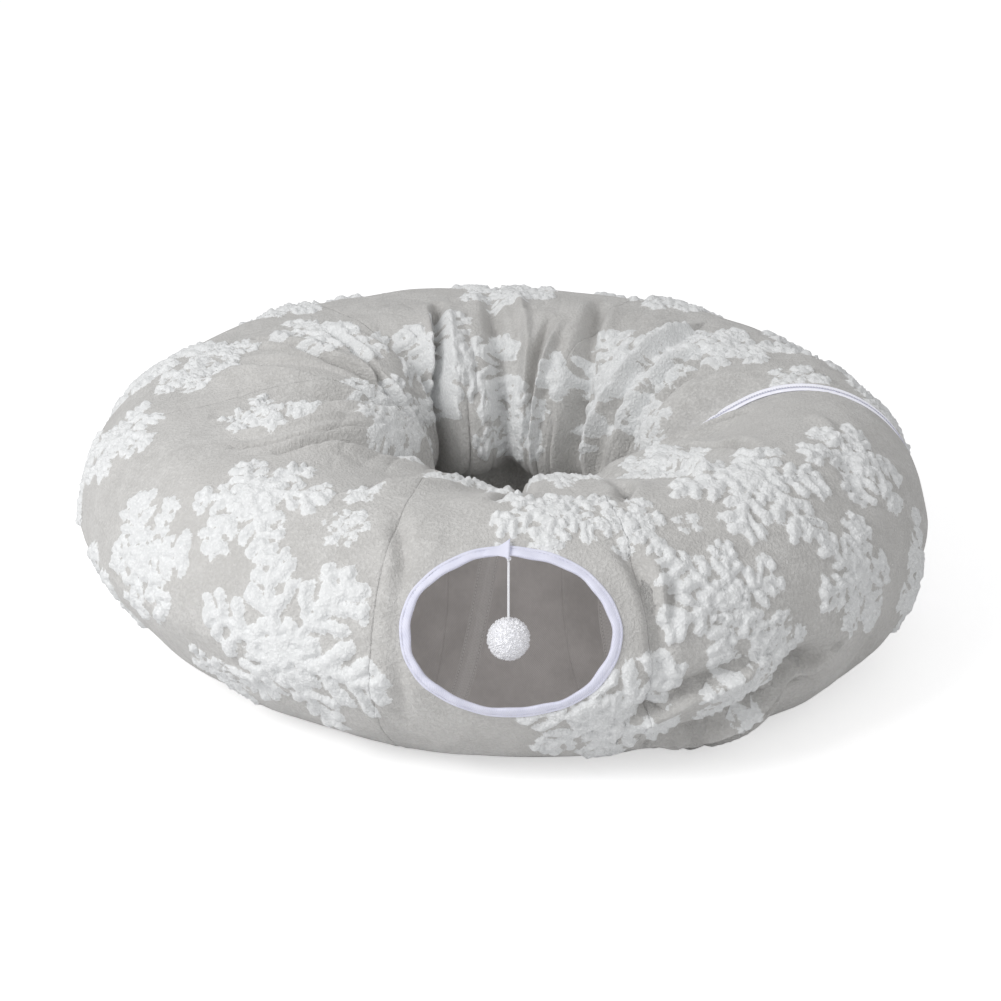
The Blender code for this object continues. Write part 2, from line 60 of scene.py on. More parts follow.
# Camera, at the photograph's angle
view = {
    "distance": 2.4,
    "elevation": 22.49,
    "azimuth": 1.08,
    "targetHeight": 0.12,
    "pixels": 1001,
    "focalPixels": 2237.8,
    "centreX": 500.3,
    "centreY": 495.7,
    "sensor": 36.0,
}


def makeCamera():
    data = bpy.data.cameras.new("photoCamera")
    data.sensor_width = view["sensor"]
    data.lens = view["focalPixels"] * view["sensor"] / view["pixels"]
    middle = view["pixels"] / 2
    data.shift_x = (middle - view["centreX"]) / view["pixels"]
    data.shift_y = (view["centreY"] - middle) / view["pixels"]
    data.clip_start = 0.05
    data.clip_end = 20
    tilt, turn = math.radians(view["elevation"]), math.radians(view["azimuth"])
    target = Vector((0, 0, view["targetHeight"]))
    away = Vector((-math.sin(turn) * math.cos(tilt), -math.cos(turn) * math.cos(tilt), math.sin(tilt)))
    camera = addObject("photoCamera", data)
    aim(camera, target + away * view["distance"], target)
    scene.camera = camera


makeCamera()

# The ring as it lies, the same in every fabric and in the frame
ring = {
    "ringRadius": 0.318,
    "tubeRadius": 0.126,
    "floorHalfAngle": 18.0,
    "floorCut": 0.0005,
    "ovalShare": 0.025,
    "ovalAngle": 30.0,
    "tuckDepth": 0.044,
    "joinAngle": 358.0,
    "fabricGap": 0.0003,
    "coverThickness": 0.003,
    "liningThickness": 0.0012,
    "firstSection": -36,
    "floorSection": 216,
}
ringRadius = ring["ringRadius"]
tubeRadius = ring["tubeRadius"]
joinAngle = ring["joinAngle"]
fabricGap = ring["fabricGap"]
tubeHeight = tubeRadius * math.cos(math.radians(ring["floorHalfAngle"])) - ring["floorCut"]
fabricStack = ring["coverThickness"] + fabricGap + ring["liningThickness"]

# Loose folds on the inside of the ring, drawn in at each turn of the spring.
# They begin lower along the tight front, sag further on the left, less on the right.
folds = {
    "reach": 0.050,
    "depth": 0.034,
    "start": 84.0,
    "peak": 172.0,
    "end": 272.0,
    "tightDelay": 38.0,
    "tight": (226.0, 248.0, 345.0, 372.0),
    "sagReach": 0.030,
    "sagAngle": 190.0,
    "sagHalfAngle": 80.0,
    "sag": (96.0, 172.0, 201.0),
    "easeReach": 0.012,
    "easeAngle": 15.0,
    "easeHalfAngle": 60.0,
    "pinch": 7.0,
    "pinchStart": 122.0,
    "pinchEnd": 240.0,
    "turns": 10,
    "phase": 265.0,
    "lean": 4.0,
}

# Panels between their seams, as ring angles
panels = {
    "front": (254.0, 286.0),
    "front_right": (286.0, 358.0),
    "back_right": (358.0, 422.0),
    "back": (422.0, 486.0),
    "back_left": (486.0, 550.0),
    "front_left": (550.0, 614.0),
}


def sinOf(angle):
    return np.sin(np.radians(angle))


def cosOf(angle):
    return np.cos(np.radians(angle))


def stepUp(low, high, value):
    share = np.clip((value - low) / (high - low), 0, 1)
    return share * share * (3 - 2 * share)


def bell(value, half, power=2):
    return np.exp(-(value / half) ** power)


# Swells from 0 at one angle to 1 at its peak and back to 0 at another
def hump(low, peak, high, angle):
    rise = sinOf(90 * (angle - low) / (peak - low)) ** 2
    fall = sinOf(90 * (high - angle) / (high - peak)) ** 2
    share = np.where((angle >= low) & (angle <= peak), rise, 0.0)
    return np.where((angle > peak) & (angle <= high), fall, share)


def turnFrom(around, angle):
    return (around - angle + 180) % 360 - 180


def reachOf(points):
    return np.hypot(points[..., 0], points[..., 1])


# A whole-number hash as a share from 0 to 1
def hashed(ix, iy, iz, seed):
    mask = 0xFFFFFFFF
    n = ((ix * 73856093) ^ (iy * 19349663) ^ (iz * 83492791) ^ (seed * 40503)) & mask
    n = ((n ^ (n >> 15)) * 2246822519) & mask
    n = ((n ^ (n >> 13)) * 3266489917) & mask
    return ((n ^ (n >> 16)) & 0xFFFFFF) / 0xFFFFFF


# Soft random swell from -1 to 1, with features of the given size in metres
def swell(points, size, seed):
    spot = points / size
    base = np.floor(spot).astype(np.int64)
    part = spot - base
    part = part * part * (3 - 2 * part)
    total = 0
    for corner in np.ndindex(2, 2, 2):
        shares = [part[..., k] if corner[k] else 1 - part[..., k] for k in range(3)]
        cell = [base[..., k] + corner[k] for k in range(3)]
        total = total + shares[0] * shares[1] * shares[2] * hashed(*cell, seed)
    return 2 * total - 1


# Round lumps packed together: 1 at the top of a lump, 0 in the gaps between them
def lumps(points, size, seed):
    spot = points / size
    base = np.floor(spot).astype(np.int64)
    nearest = np.full(points.shape[:-1], 9.0)
    for corner in np.ndindex(3, 3, 3):
        cell = [base[..., k] + corner[k] - 1 for k in range(3)]
        away = sum((cell[k] + hashed(*cell, seed + k) - spot[..., k]) ** 2 for k in range(3))
        nearest = np.minimum(nearest, away)
    return np.clip(1 - nearest / 0.7, 0, 1)


# The ring's oval plan, tucked in along the floor away from the join
def moulded(points):
    reach = reachOf(points)
    around = np.degrees(np.arctan2(points[..., 1], points[..., 0]))
    outer = np.clip((reach - ringRadius + tubeRadius) / (2 * tubeRadius), 0, 1)
    low = np.clip(1 - points[..., 2] / tubeHeight, 0, 1)
    tuck = ring["tuckDepth"] * (1 - cosOf(around - joinAngle)) / 2 * outer * low
    lean = cosOf(2 * (around - ring["ovalAngle"])) - cosOf(2 * (joinAngle - ring["ovalAngle"]))
    scale = 1 - ring["ovalShare"] * lean - tuck / np.maximum(reach, 0.001)
    return np.stack([points[..., 0] * scale, points[..., 1] * scale, points[..., 2]], -1)


# A point of the tube before it is moulded
def onRing(around, section, radius, lowest=0.0):
    reach = ringRadius + radius * cosOf(section)
    height = np.maximum(tubeHeight + radius * sinOf(section), lowest)
    return np.stack([reach * cosOf(around), reach * sinOf(around), height + 0 * reach], -1)


def foldShare(around, section):
    turn = (around - 180) % 360 + 180
    low, high, from_, to = folds["tight"]
    tight = stepUp(low, high, turn) - stepUp(from_, to, turn)
    begin = folds["start"] + folds["tightDelay"] * tight
    return hump(begin, folds["peak"], folds["end"], section % 360)


def sagDepth(around):
    left, right = folds["sagHalfAngle"], folds["easeHalfAngle"]
    sag = folds["sagReach"] * hump(-left, 0, left, turnFrom(around, folds["sagAngle"]))
    return sag - folds["easeReach"] * hump(-right, 0, right, turnFrom(around, folds["easeAngle"]))


def wireRingAngle(section):
    lean = folds["lean"] * cosOf(section / 2) ** 2
    return folds["phase"] - (section - 180) / folds["turns"] + lean


# From 0 at a turn of the spring to 1 halfway to the next
def betweenTurns(around, section):
    return np.abs(sinOf(folds["turns"] / 2 * (around - wireRingAngle(section))))


def foldedRadius(around, section, between):
    push = foldShare(around, section) * (folds["reach"] + folds["depth"] * between)
    push = push + hump(*folds["sag"], section % 360) * sagDepth(around)
    fade = (folds["pinchEnd"] - section % 360) / (folds["pinchEnd"] - folds["pinchStart"])
    pinch = 1 - np.clip(fade, 0, 1) * bell(turnFrom(around, joinAngle), folds["pinch"])
    return tubeRadius + np.maximum(pinch * push, 0)


# Creases and lips of the plush. Each follows a line of ring and section angles,
# and has a half width and a depth. A valley sinks and a ridge rises along its
# line, and a lip stands up on one side of it.
creases = [
    ("valley", [(104, 112), (109, 135), (116, 160), (117, 200)], 0.007, 0.0297),
    ("valley", [(91, 96), (91, 125), (90, 150), (88, 185)], 0.010, 0.0121),
    ("ridge", [(86, 100), (83, 121), (79, 142), (78, 165)], 0.007, 0.0081),
    ("valley", [(66, 100), (61, 130), (53, 158), (51, 190)], 0.010, 0.0175),
    ("ridge", [(70, 130), (70, 160), (68, 180)], 0.006, 0.0108),
    ("valley", [(74, 128), (74, 150), (73, 190)], 0.006, 0.0108),
    ("lip", [(38, 104), (34, 130), (30, 160), (30, 190)], 0.007, 0.0135),
    ("valley", [(26, 118), (25, 134), (21, 156), (20, 186)], 0.007, 0.0175),
    ("ridge", [(16, 110), (15, 134), (12, 160)], 0.008, 0.0095),
    ("valley", [(350, 118), (351, 134), (351, 160), (350, 185)], 0.006, 0.0189),
    ("lip", [(176, 96), (180, 113), (188, 132), (192, 160)], 0.008, 0.0189),
    ("valley", [(152, 100), (154, 113), (156, 134), (155, 150), (154, 188)], 0.007, 0.0243),
    ("valley", [(142, 122), (145, 133), (150, 150), (151, 185)], 0.006, 0.0162),
    ("lip", [(137, 112), (134, 136), (123, 148), (121, 170)], 0.008, 0.0162),
    ("ridge", [(164, 108), (166, 130), (168, 160)], 0.008, 0.0121),
    ("valley", [(172, 120), (173, 140), (175, 190)], 0.006, 0.0189),
    ("lip", [(203, 104), (206, 120), (212, 140), (214, 176)], 0.008, 0.0162),
    ("valley", [(222, 100), (226, 118), (232, 140), (236, 180)], 0.007, 0.0189),
    ("lip", [(246, 92), (250, 102), (256, 118), (262, 150)], 0.008, 0.0121),
    ("valley", [(268, 96), (271, 112), (275, 140), (277, 180)], 0.008, 0.0121),
    ("valley", [(289, 90), (294, 112), (300, 140)], 0.008, 0.0135),
    ("ridge", [(306, 92), (312, 116), (318, 140)], 0.009, 0.0108),
    ("valley", [(322, 98), (328, 120), (334, 150), (336, 185)], 0.008, 0.0175),
    ("lip", [(284, -17), (288, -12), (291, -7), (296, -2), (299, 1)], 0.006, 0.0133),
    ("lip", [(289, -42), (294, -37), (299, -24), (305, -14), (311, -7)], 0.006, 0.0171),
    ("lip", [(292, -60), (298, -54), (302, -31), (307, -22)], 0.006, 0.0133),
    ("valley", [(284.5, 62), (286, 50), (287, 27), (287, 4), (286, -10)], 0.009, 0.0095),
    ("valley", [(290, 44), (289, 30), (288, 16)], 0.008, 0.0085),
    ("ridge", [(288.4, 50), (288.3, 28), (287.8, 12)], 0.006, 0.0057),
    ("valley", [(253.5, 78), (256.8, 50), (257.8, 20), (257.4, -20)], 0.009, 0.0072),
    ("ridge", [(260, 70), (261, 40), (260.6, 0)], 0.010, 0.0040),
    ("valley", [(336, 74), (330, 62), (325, 44)], 0.016, 0.0070),
    ("ridge", [(343, 86), (337, 76), (331, 66)], 0.012, 0.0056),
    ("valley", [(42, 200), (62, 197), (86, 195), (108, 196), (126, 200)], 0.021, 0.0340),
    ("valley", [(196, 96), (200, 108), (203, 122), (207, 150)], 0.006, 0.0110),
    ("valley", [(213, 90), (218, 104), (222, 120), (226, 150)], 0.006, 0.0120),
    ("ridge", [(208, 96), (214, 112), (219, 136)], 0.007, 0.0080),
    ("valley", [(18, 120), (14, 132), (11, 150)], 0.005, 0.0080),
    ("ridge", [(44, 104), (42, 124), (41, 150)], 0.008, 0.0070),
    ("valley", [(230, -28), (238, -22), (246, -26)], 0.012, 0.0050),
    ("valley", [(306, -34), (306, -12), (305, 2)], 0.026, 0.0140),
    ("valley", [(340, -34), (342, -10), (341, 10)], 0.026, 0.0120),
    ("valley", [(318, -40), (326, -16), (332, 4)], 0.022, 0.0060),
    ("valley", [(200, 60), (214, 40), (219, 14)], 0.022, 0.0030),
    ("valley", [(20, 84), (24, 60), (22, 30)], 0.018, 0.0045),
    ("lip", [(60, 80), (58, 50), (63, 20), (60, -20)], 0.016, 0.0060),
    ("valley", [(96, 70), (99, 40), (95, 6)], 0.016, 0.0050),
    ("lip", [(130, 76), (134, 44), (130, 14), (133, -24)], 0.016, 0.0060),
    ("valley", [(166, 60), (169, 30), (166, -10)], 0.016, 0.0045),
    ("lip", [(70, -28), (84, -22), (98, -30)], 0.010, 0.0070),
    ("lip", [(112, -26), (126, -20), (140, -27)], 0.010, 0.0070),
    ("lip", [(160, -24), (174, -20), (188, -28)], 0.010, 0.0070),
    ("lip", [(10, -26), (24, -20), (38, -27)], 0.010, 0.0070),
]

# Slack, hem and gathers of the cover, and where it lies calm: at the entrance, along
# the zip and on the floor
drape = {
    "slackSize": 0.085,
    "slack": 0.0032,
    "rippleSize": 0.034,
    "ripple": 0.0011,
    "hem": (-38, 16),
    "hemSize": 0.05,
    "hemSlack": 0.0050,
    "wrinkleSize": 0.022,
    "wrinkleStretch": (1, 1, 0.35),
    "gather": 0.0045,
    "calm": (0.004, 0.034),
    "zipCalm": 0.012,
    "zipTop": (158, 170),
    "zipFoot": (292, 304),
    "floorStart": (236, 250),
    "floorEnd": (292, 306),
}

entrance = {
    "width": 0.176,
    "height": 0.137,
    "angle": 24.5,
    "web": 0.003,
    "overlap": 0.006,
    "wall": 0.0011,
}
tilt = math.radians(entrance["angle"])
outOf = np.array([0, -math.cos(tilt), math.sin(tilt)])
upOf = np.array([0, math.sin(tilt), math.cos(tilt)])
sectionCentre = np.array([0, -ringRadius, tubeHeight])


# How far a point of the tube is outside the entrance's oval
def outsideEntrance(points):
    offset = points - sectionCentre
    across, up = points[..., 0], offset @ upOf
    a, b = entrance["width"] / 2, entrance["height"] / 2
    level = np.hypot(across / a, up / b) + 1e-9
    slope = np.hypot(across / a ** 2, up / b ** 2) / level + 1e-9
    return np.where(offset @ outOf > 0, (level - 1) / slope, 1.0)


def fromJoin(around, points):
    return np.abs(np.radians(turnFrom(around, joinAngle))) * reachOf(points)


def creaseHeight(around, section):
    total = np.zeros(np.broadcast(around, section).shape)
    loose = 0.5 * folds["reach"] * foldShare(around, section)
    reach = ringRadius + (tubeRadius + loose) * cosOf(section)
    turn = (section + 90) % 360 - 90
    for kind, line, width, depth in creases:
        middle = line[len(line) // 2][0]
        away = turnFrom(around, middle)
        near = np.full(total.shape, 9.0)
        side = np.zeros(total.shape)
        ends = np.zeros(total.shape)
        for number, ((a0, s0), (a1, s1)) in enumerate(zip(line, line[1:])):
            x = np.radians(away - turnFrom(a0, middle)) * reach
            y = np.radians(turn - s0) * tubeRadius
            dx = np.radians(a1 - a0) * reach
            dy = math.radians(s1 - s0) * tubeRadius
            share = np.clip((x * dx + y * dy) / (dx * dx + dy * dy + 1e-9), 0, 1)
            off = np.hypot(x - share * dx, y - share * dy)
            closer = off < near
            near = np.where(closer, off, near)
            side = np.where(closer, np.sign(x * dy - y * dx), side)
            fade = 1.0
            if number == 0:
                fade = np.minimum(fade, 0.25 + 1.5 * share)
            if number == len(line) - 2:
                fade = np.minimum(fade, 0.25 + 1.5 * (1 - share))
            ends = np.where(closer, fade, ends)
        if kind == "lip":
            shape = np.tanh(side * near / (0.35 * width)) * bell(near, 2.6 * width)
        else:
            shape = (bell(near, width) - 0.35 * bell(near, 2.2 * width)) / 0.65
            shape = shape if kind == "ridge" else -shape
        total = total + depth * ends * shape
    return total


# The spring's loops, and the tent of cloth that each one holds up. The lining is
# made of flats, and its half row and half column leave the loops this much room.
spring = {
    "wireRadius": 0.00125,
    "slack": 0.001,
    "flat": 0.004,
    "slope": 0.42,
    "halfRow": 9.0,
    "halfColumn": 7.7,
}
liningFlat = (tubeRadius - fabricStack) * math.cos(math.radians(spring["halfRow"]))
liningSag = (ringRadius + tubeRadius) * (1 - math.cos(math.radians(spring["halfColumn"])))
loopLimit = liningFlat - liningSag - spring["slack"] - spring["wireRadius"]
loopFloor = fabricStack + fabricGap + spring["wireRadius"]
loopRadius = (loopLimit + tubeHeight - loopFloor) / 2
loopHeight = loopFloor + loopRadius


def heldUp(around, section):
    low = loopHeight - tubeHeight
    wire = low * sinOf(section) + np.sqrt(loopRadius ** 2 - (low * cosOf(section)) ** 2)
    pitch = 360 / folds["turns"]
    away = (around - wireRingAngle(section) + pitch / 2) % pitch - pitch / 2
    reach = ringRadius + tubeRadius * cosOf(section)
    slope = spring["slope"] * np.maximum(np.abs(np.radians(away)) * reach - spring["flat"], 0)
    return wire + spring["wireRadius"] + fabricStack + 5 * fabricGap - slope


def frameRadius(around, section):
    return foldedRadius(around, section, betweenTurns(around, section))


# The outer face of the plush, with its folds, creases and slack
def plushRadius(around, section):
    turn = section % 360
    plain = onRing(around, section, tubeRadius)
    calm = stepUp(*drape["calm"], outsideEntrance(plain))
    inZip = np.clip(1 - stepUp(*drape["zipTop"], turn) + stepUp(*drape["zipFoot"], turn), 0, 1)
    calm = calm * (1 - bell(fromJoin(around, plain), drape["zipCalm"]) * inZip)
    onFloor = stepUp(*drape["floorStart"], turn) * (1 - stepUp(*drape["floorEnd"], turn))
    slack = drape["slack"] * swell(plain, drape["slackSize"], 3)
    slack = slack + drape["ripple"] * swell(plain, drape["rippleSize"], 8)
    hemMiddle, hemHalf = drape["hem"]
    hem = bell(turnFrom(section, hemMiddle), hemHalf)
    slack = slack + drape["hemSlack"] * hem * swell(plain, drape["hemSize"], 21)
    wrinkle = np.abs(swell(plain * np.array(drape["wrinkleStretch"]), drape["wrinkleSize"], 31))
    slack = slack - drape["gather"] * np.sqrt(foldShare(around, section)) * (1 - wrinkle) ** 4
    loose = calm * (slack + creaseHeight(around, section)) * (1 - onFloor)
    loose = frameRadius(around, section) + loose
    return np.where(onFloor > 0, loose, np.maximum(loose, heldUp(around, section)))


# Snowflake tufts of tall curly pile: ring and section angle, radius, turn and arms
flakes = [
    (229.6, 67.0, 0.074, 22, 6),
    (242.2, 5.0, 0.102, 50, 6),
    (215.6, 21.0, 0.070, 82, 6),
    (247.0, 64.0, 0.022, 10, 6),
    (246.0, 86.0, 0.017, 35, 5),
    (173.0, 88.0, 0.048, 8, 6),
    (204.0, 113.0, 0.050, 48, 6),
    (140.0, 122.0, 0.066, 20, 6),
    (223.0, 147.0, 0.050, 0, 6),
    (109.0, 147.0, 0.074, 70, 6),
    (148.0, 166.0, 0.060, 15, 6),
    (82.0, 170.0, 0.050, 90, 6),
    (86.6, 92.0, 0.060, 30, 6),
    (37.0, 146.0, 0.092, 85, 6),
    (8.0, 156.0, 0.036, 60, 6),
    (316.0, 138.0, 0.052, 30, 6),
    (24.0, 108.0, 0.064, 12, 6),
    (3.0, 92.0, 0.034, 40, 5),
    (311.0, 79.0, 0.092, 35, 6),
    (334.0, 59.0, 0.068, 80, 6),
    (317.4, 18.0, 0.060, 57, 6),
    (296.4, 29.0, 0.066, 72, 6),
    (302.5, 3.0, 0.038, 20, 6),
    (297.0, -11.0, 0.044, 50, 6),
    (280.5, -18.0, 0.082, 40, 6),
    (277.0, 82.0, 0.056, 18, 6),
    (287.5, 70.0, 0.038, 60, 6),
    (295.5, 67.0, 0.014, 15, 5),
    (262.6, 44.0, 0.014, 15, 5),
    (261.6, 27.0, 0.010, 50, 5),
    (269.6, 60.0, 0.012, 0, 5),
    (160.0, 92.0, 0.036, 40, 6),
    (183.0, 150.0, 0.048, 25, 6),
    (258.0, 142.0, 0.048, 40, 6),
    (290.0, 150.0, 0.046, 10, 6),
    (345.0, 160.0, 0.040, 75, 6),
    (4.0, 40.0, 0.056, 15, 6),
    (24.0, 44.0, 0.084, 50, 6),
    (44.0, 6.0, 0.078, 20, 6),
    (54.0, 66.0, 0.060, 80, 6),
    (69.0, 20.0, 0.096, 35, 6),
    (92.0, 50.0, 0.066, 10, 6),
    (98.0, 0.0, 0.066, 60, 6),
    (116.0, 28.0, 0.090, 85, 6),
    (131.0, 68.0, 0.052, 40, 6),
    (140.0, 2.0, 0.072, 5, 6),
    (160.0, 36.0, 0.092, 45, 6),
    (181.0, 0.0, 0.070, 70, 6),
    (190.0, 48.0, 0.060, 25, 6),
    (201.0, -16.0, 0.056, 30, 6),
    (14.0, -10.0, 0.064, 65, 6),
    (337.0, -6.0, 0.062, 10, 6),
    (56.0, -30.0, 0.052, 0, 6),
    (84.0, -34.0, 0.054, 40, 6),
    (122.0, -30.0, 0.056, 20, 6),
    (162.0, -30.0, 0.052, 75, 6),
    (229.0, -28.0, 0.046, 60, 6),
]

pile = {
    "height": 0.0062,
    "edge": 0.0062,
    "lumpSize": 0.0090,
    "lumpHeight": 0.0016,
    "curlSize": 0.0046,
    "curlHeight": 0.0013,
    "warp": 0.0046,
    "warpSize": 0.026,
    "ruffleSize": 0.0115,
    "ruffle": 0.0042,
    "ruffleMiddle": 0.42,
    "frizzSize": 0.0052,
    "frizz": 0.0021,
    "reachShare": 1.3,
    "bare": -0.05,
}

# One arm of a snowflake, in shares of its radius: each branch leaves the stem at
# the first share and is as long as the second, with the third as its half width
arm = {
    "stem": 0.90,
    "stemHalf": 0.070,
    "branches": [(0.20, 0.17, 0.070), (0.42, 0.27, 0.068), (0.66, 0.27, 0.066), (0.86, 0.13, 0.068)],
    "branchAngle": 56.0,
    "hub": 0.20,
}


# From the edge of a rounded stroke that starts on the arm's axis and may widen
def strokeDistance(u, v, start, tip, half, widen=0.0):
    dx, dy = tip[0] - start, tip[1]
    share = np.clip(((u - start) * dx + v * dy) / (dx * dx + dy * dy), 0, 1)
    return np.hypot(u - start - share * dx, v - share * dy) - half * (1 + widen * (share - 0.5))


# From the edge of a snowflake, with each branch as long as its odds say
def flakeDistance(r, wedge, odds, widen=0.0):
    u, v = r * cosOf(wedge), r * np.abs(sinOf(wedge))
    best = strokeDistance(u, v, 0, (arm["stem"], 0), arm["stemHalf"])
    best = np.minimum(best, np.hypot(u, v) - arm["hub"])
    lean = math.radians(arm["branchAngle"])
    for (start, long, half), odd in zip(arm["branches"], odds):
        tip = (start + long * odd * math.cos(lean), long * odd * math.sin(lean))
        best = np.minimum(best, strokeDistance(u, v, start, tip, half, widen))
    return best


# The cover with its folds evened out, on which the tufts are laid
def evenSurface(around, section):
    around, section = np.asarray(around, float), np.asarray(section, float)
    return moulded(onRing(around, section, foldedRadius(around, section, 0.6)))


# Inside the tufts this is above zero: metres from the nearest edge of a tuft
def tuftDepth(places):
    flat = places.reshape(-1, 3)
    depth = np.full(len(flat), pile["bare"])
    for number, (a, s, size, turn, count) in enumerate(flakes):
        centre = evenSurface(a, s)
        east = evenSurface(a + 0.5, s) - centre
        north = evenSurface(a, s + 0.5) - centre
        east = east / np.linalg.norm(east)
        north = north - east * (north @ east)
        north = north / np.linalg.norm(north)
        offset = flat - centre
        chord = np.linalg.norm(offset, axis=1)
        facing = offset @ np.cross(east, north) > -0.7 * size - 0.02
        near = np.nonzero((chord < pile["reachShare"] * size + 0.01) & facing)[0]
        if not len(near):
            continue
        offset, chord, spots = offset[near], chord[near], flat[near]
        x, y = offset @ east, offset @ north
        stretch = chord / np.maximum(np.hypot(x, y), 1e-6)
        warp = min(pile["warp"], 0.08 * size)
        x = x * stretch + warp * swell(spots, pile["warpSize"], 40 + number)
        y = y * stretch + warp * swell(spots, pile["warpSize"], 80 + number)
        angle = np.degrees(np.arctan2(y, x)) - turn
        step = 360 / count
        wedge = (angle + step / 2) % step - step / 2
        which = np.floor((angle + step / 2) / step).astype(int) % count
        grow = size * (0.86 + 0.24 * hashed(which, which * 0 + number, which * 0, 5))
        side = np.where(wedge > 0, 1, 0)
        odds = [0.75 + 0.5 * hashed(which * 7 + i, side, which * 0 + number, 9)
                for i in range(len(arm["branches"]))]
        away = flakeDistance(np.hypot(x, y) / grow, wedge, odds, 0.3)
        depth[near] = np.maximum(depth[near], -away * grow)
    inside = depth > -0.02
    ruffle = lumps(flat[inside], pile["ruffleSize"], 60) - pile["ruffleMiddle"]
    depth[inside] += pile["ruffle"] * ruffle + pile["frizz"] * swell(flat[inside], pile["frizzSize"], 66)
    return depth.reshape(places.shape[:-1])


# How high the pile stands, and how deep a point lies between its lumps, which the plush look paints as shade
def tuftRelief(places, depth):
    flat = places.reshape(-1, 3)
    rise = stepUp(-0.0008, pile["edge"], depth.reshape(-1))
    near = np.nonzero(rise > 0)[0]
    big = 1 - lumps(flat[near], pile["lumpSize"], 70)
    small = 1 - lumps(flat[near], pile["curlSize"], 75)
    high, hollowShade = np.zeros(len(flat)), np.zeros(len(flat))
    high[near] = rise[near] * (pile["height"] - pile["lumpHeight"] * big - pile["curlHeight"] * small)
    hollowShade[near] = rise[near] * (0.75 * big + 0.25 * small)
    return high.reshape(depth.shape), hollowShade.reshape(depth.shape)


# Looks of the pieces, on Object coordinates or their own UV
def feed(tree, socket, value):
    if isinstance(value, bpy.types.NodeSocket):
        tree.links.new(value, socket)
    elif isinstance(value, tuple) and socket.type == "RGBA":
        socket.default_value = (*value, 1)
    else:
        socket.default_value = value


def addNode(tree, kind, inputs=(), **settings):
    node = tree.nodes.new(kind)
    for key, value in settings.items():
        setattr(node, key, value)
    for key, value in dict(inputs).items():
        feed(tree, node.inputs[key], value)
    return node


def mathNode(tree, operation, *values, clamp=False):
    node = addNode(tree, "ShaderNodeMath", enumerate(values), operation=operation, use_clamp=clamp)
    return node.outputs[0]


def blendOf(tree, first, share, second, other):
    return mathNode(tree, "ADD", mathNode(tree, "MULTIPLY", first, share),
                    mathNode(tree, "MULTIPLY", second, other))


def mixColour(tree, factor, first, second):
    return addNode(tree, "ShaderNodeMix", {0: factor, 6: first, 7: second}, data_type="RGBA").outputs[2]


def rampNode(tree, value, low, high, fromTo=(0.0, 1.0)):
    inputs = {"Value": value, "From Min": low, "From Max": high, "To Min": fromTo[0], "To Max": fromTo[1]}
    return addNode(tree, "ShaderNodeMapRange", inputs, interpolation_type="SMOOTHSTEP").outputs["Result"]


def noiseNode(tree, vector, scale, detail=2.0, roughness=0.5, distortion=0.0, output="Fac"):
    inputs = {"Vector": vector, "Scale": scale, "Detail": detail, "Roughness": roughness,
              "Distortion": distortion}
    return addNode(tree, "ShaderNodeTexNoise", inputs).outputs[output]


def bumpNode(tree, height, strength, distance, normal=None):
    inputs = {"Height": height, "Strength": strength, "Distance": distance}
    if normal is not None:
        inputs["Normal"] = normal
    return addNode(tree, "ShaderNodeBump", inputs).outputs["Normal"]


def groupNode(tree, group, vector, **values):
    inputs = {key.replace("_", " "): value for key, value in values.items()}
    return addNode(tree, "ShaderNodeGroup", {"Vector": vector, **inputs}, node_tree=group).outputs


def coordsOf(tree, output="Object"):
    return addNode(tree, "ShaderNodeTexCoord").outputs[output]


# A group that takes a vector and these sizes and puts out these masks
def newGroup(name, sizes, masks):
    group = bpy.data.node_groups.new(name, "ShaderNodeTree")
    group.interface.new_socket("Vector", in_out="INPUT", socket_type="NodeSocketVector")
    for label, value in sizes.items():
        socket = group.interface.new_socket(label, in_out="INPUT", socket_type="NodeSocketFloat")
        socket.default_value = value
    for label in masks:
        group.interface.new_socket(label, in_out="OUTPUT", socket_type="NodeSocketFloat")
    return group, group.nodes.new("NodeGroupInput").outputs, group.nodes.new("NodeGroupOutput").inputs


def newMaterial(name, colour, values):
    look = bpy.data.materials.new(name)
    look.use_nodes = True
    look.diffuse_color = (*colour, 1)
    tree = look.node_tree
    inputs = tree.nodes["Principled BSDF"].inputs
    for key, value in values.items():
        feed(tree, inputs[key], value)
    return look, tree, inputs


def coat(tree, inputs, colour, normal, glow=None):
    feed(tree, inputs["Base Color"], colour)
    feed(tree, inputs["Normal"], normal)
    # A glow makes the surface give off its own colour: painted light, as none of these pieces is a lamp
    if glow is not None:
        feed(tree, inputs["Emission Color"], colour)
        feed(tree, inputs["Emission Strength"], glow)


# Short pile: fine grain, soft brushed patches and a height for the bump
def makeNap():
    group, source, target = newGroup("napOfPile", {"Grain Scale": 620.0, "Patch Scale": 26.0},
                                     ["Height", "Shade"])
    fine = noiseNode(group, source["Vector"], source["Grain Scale"], 3.0, 0.62)
    patch = noiseNode(group, source["Vector"], source["Patch Scale"], 4.0, 0.6, 0.6)
    grain = rampNode(group, fine, 0.30, 0.70)
    feed(group, target["Height"], grain)
    feed(group, target["Shade"], blendOf(group, grain, 0.62, rampNode(group, patch, 0.34, 0.66), 0.38))
    return group
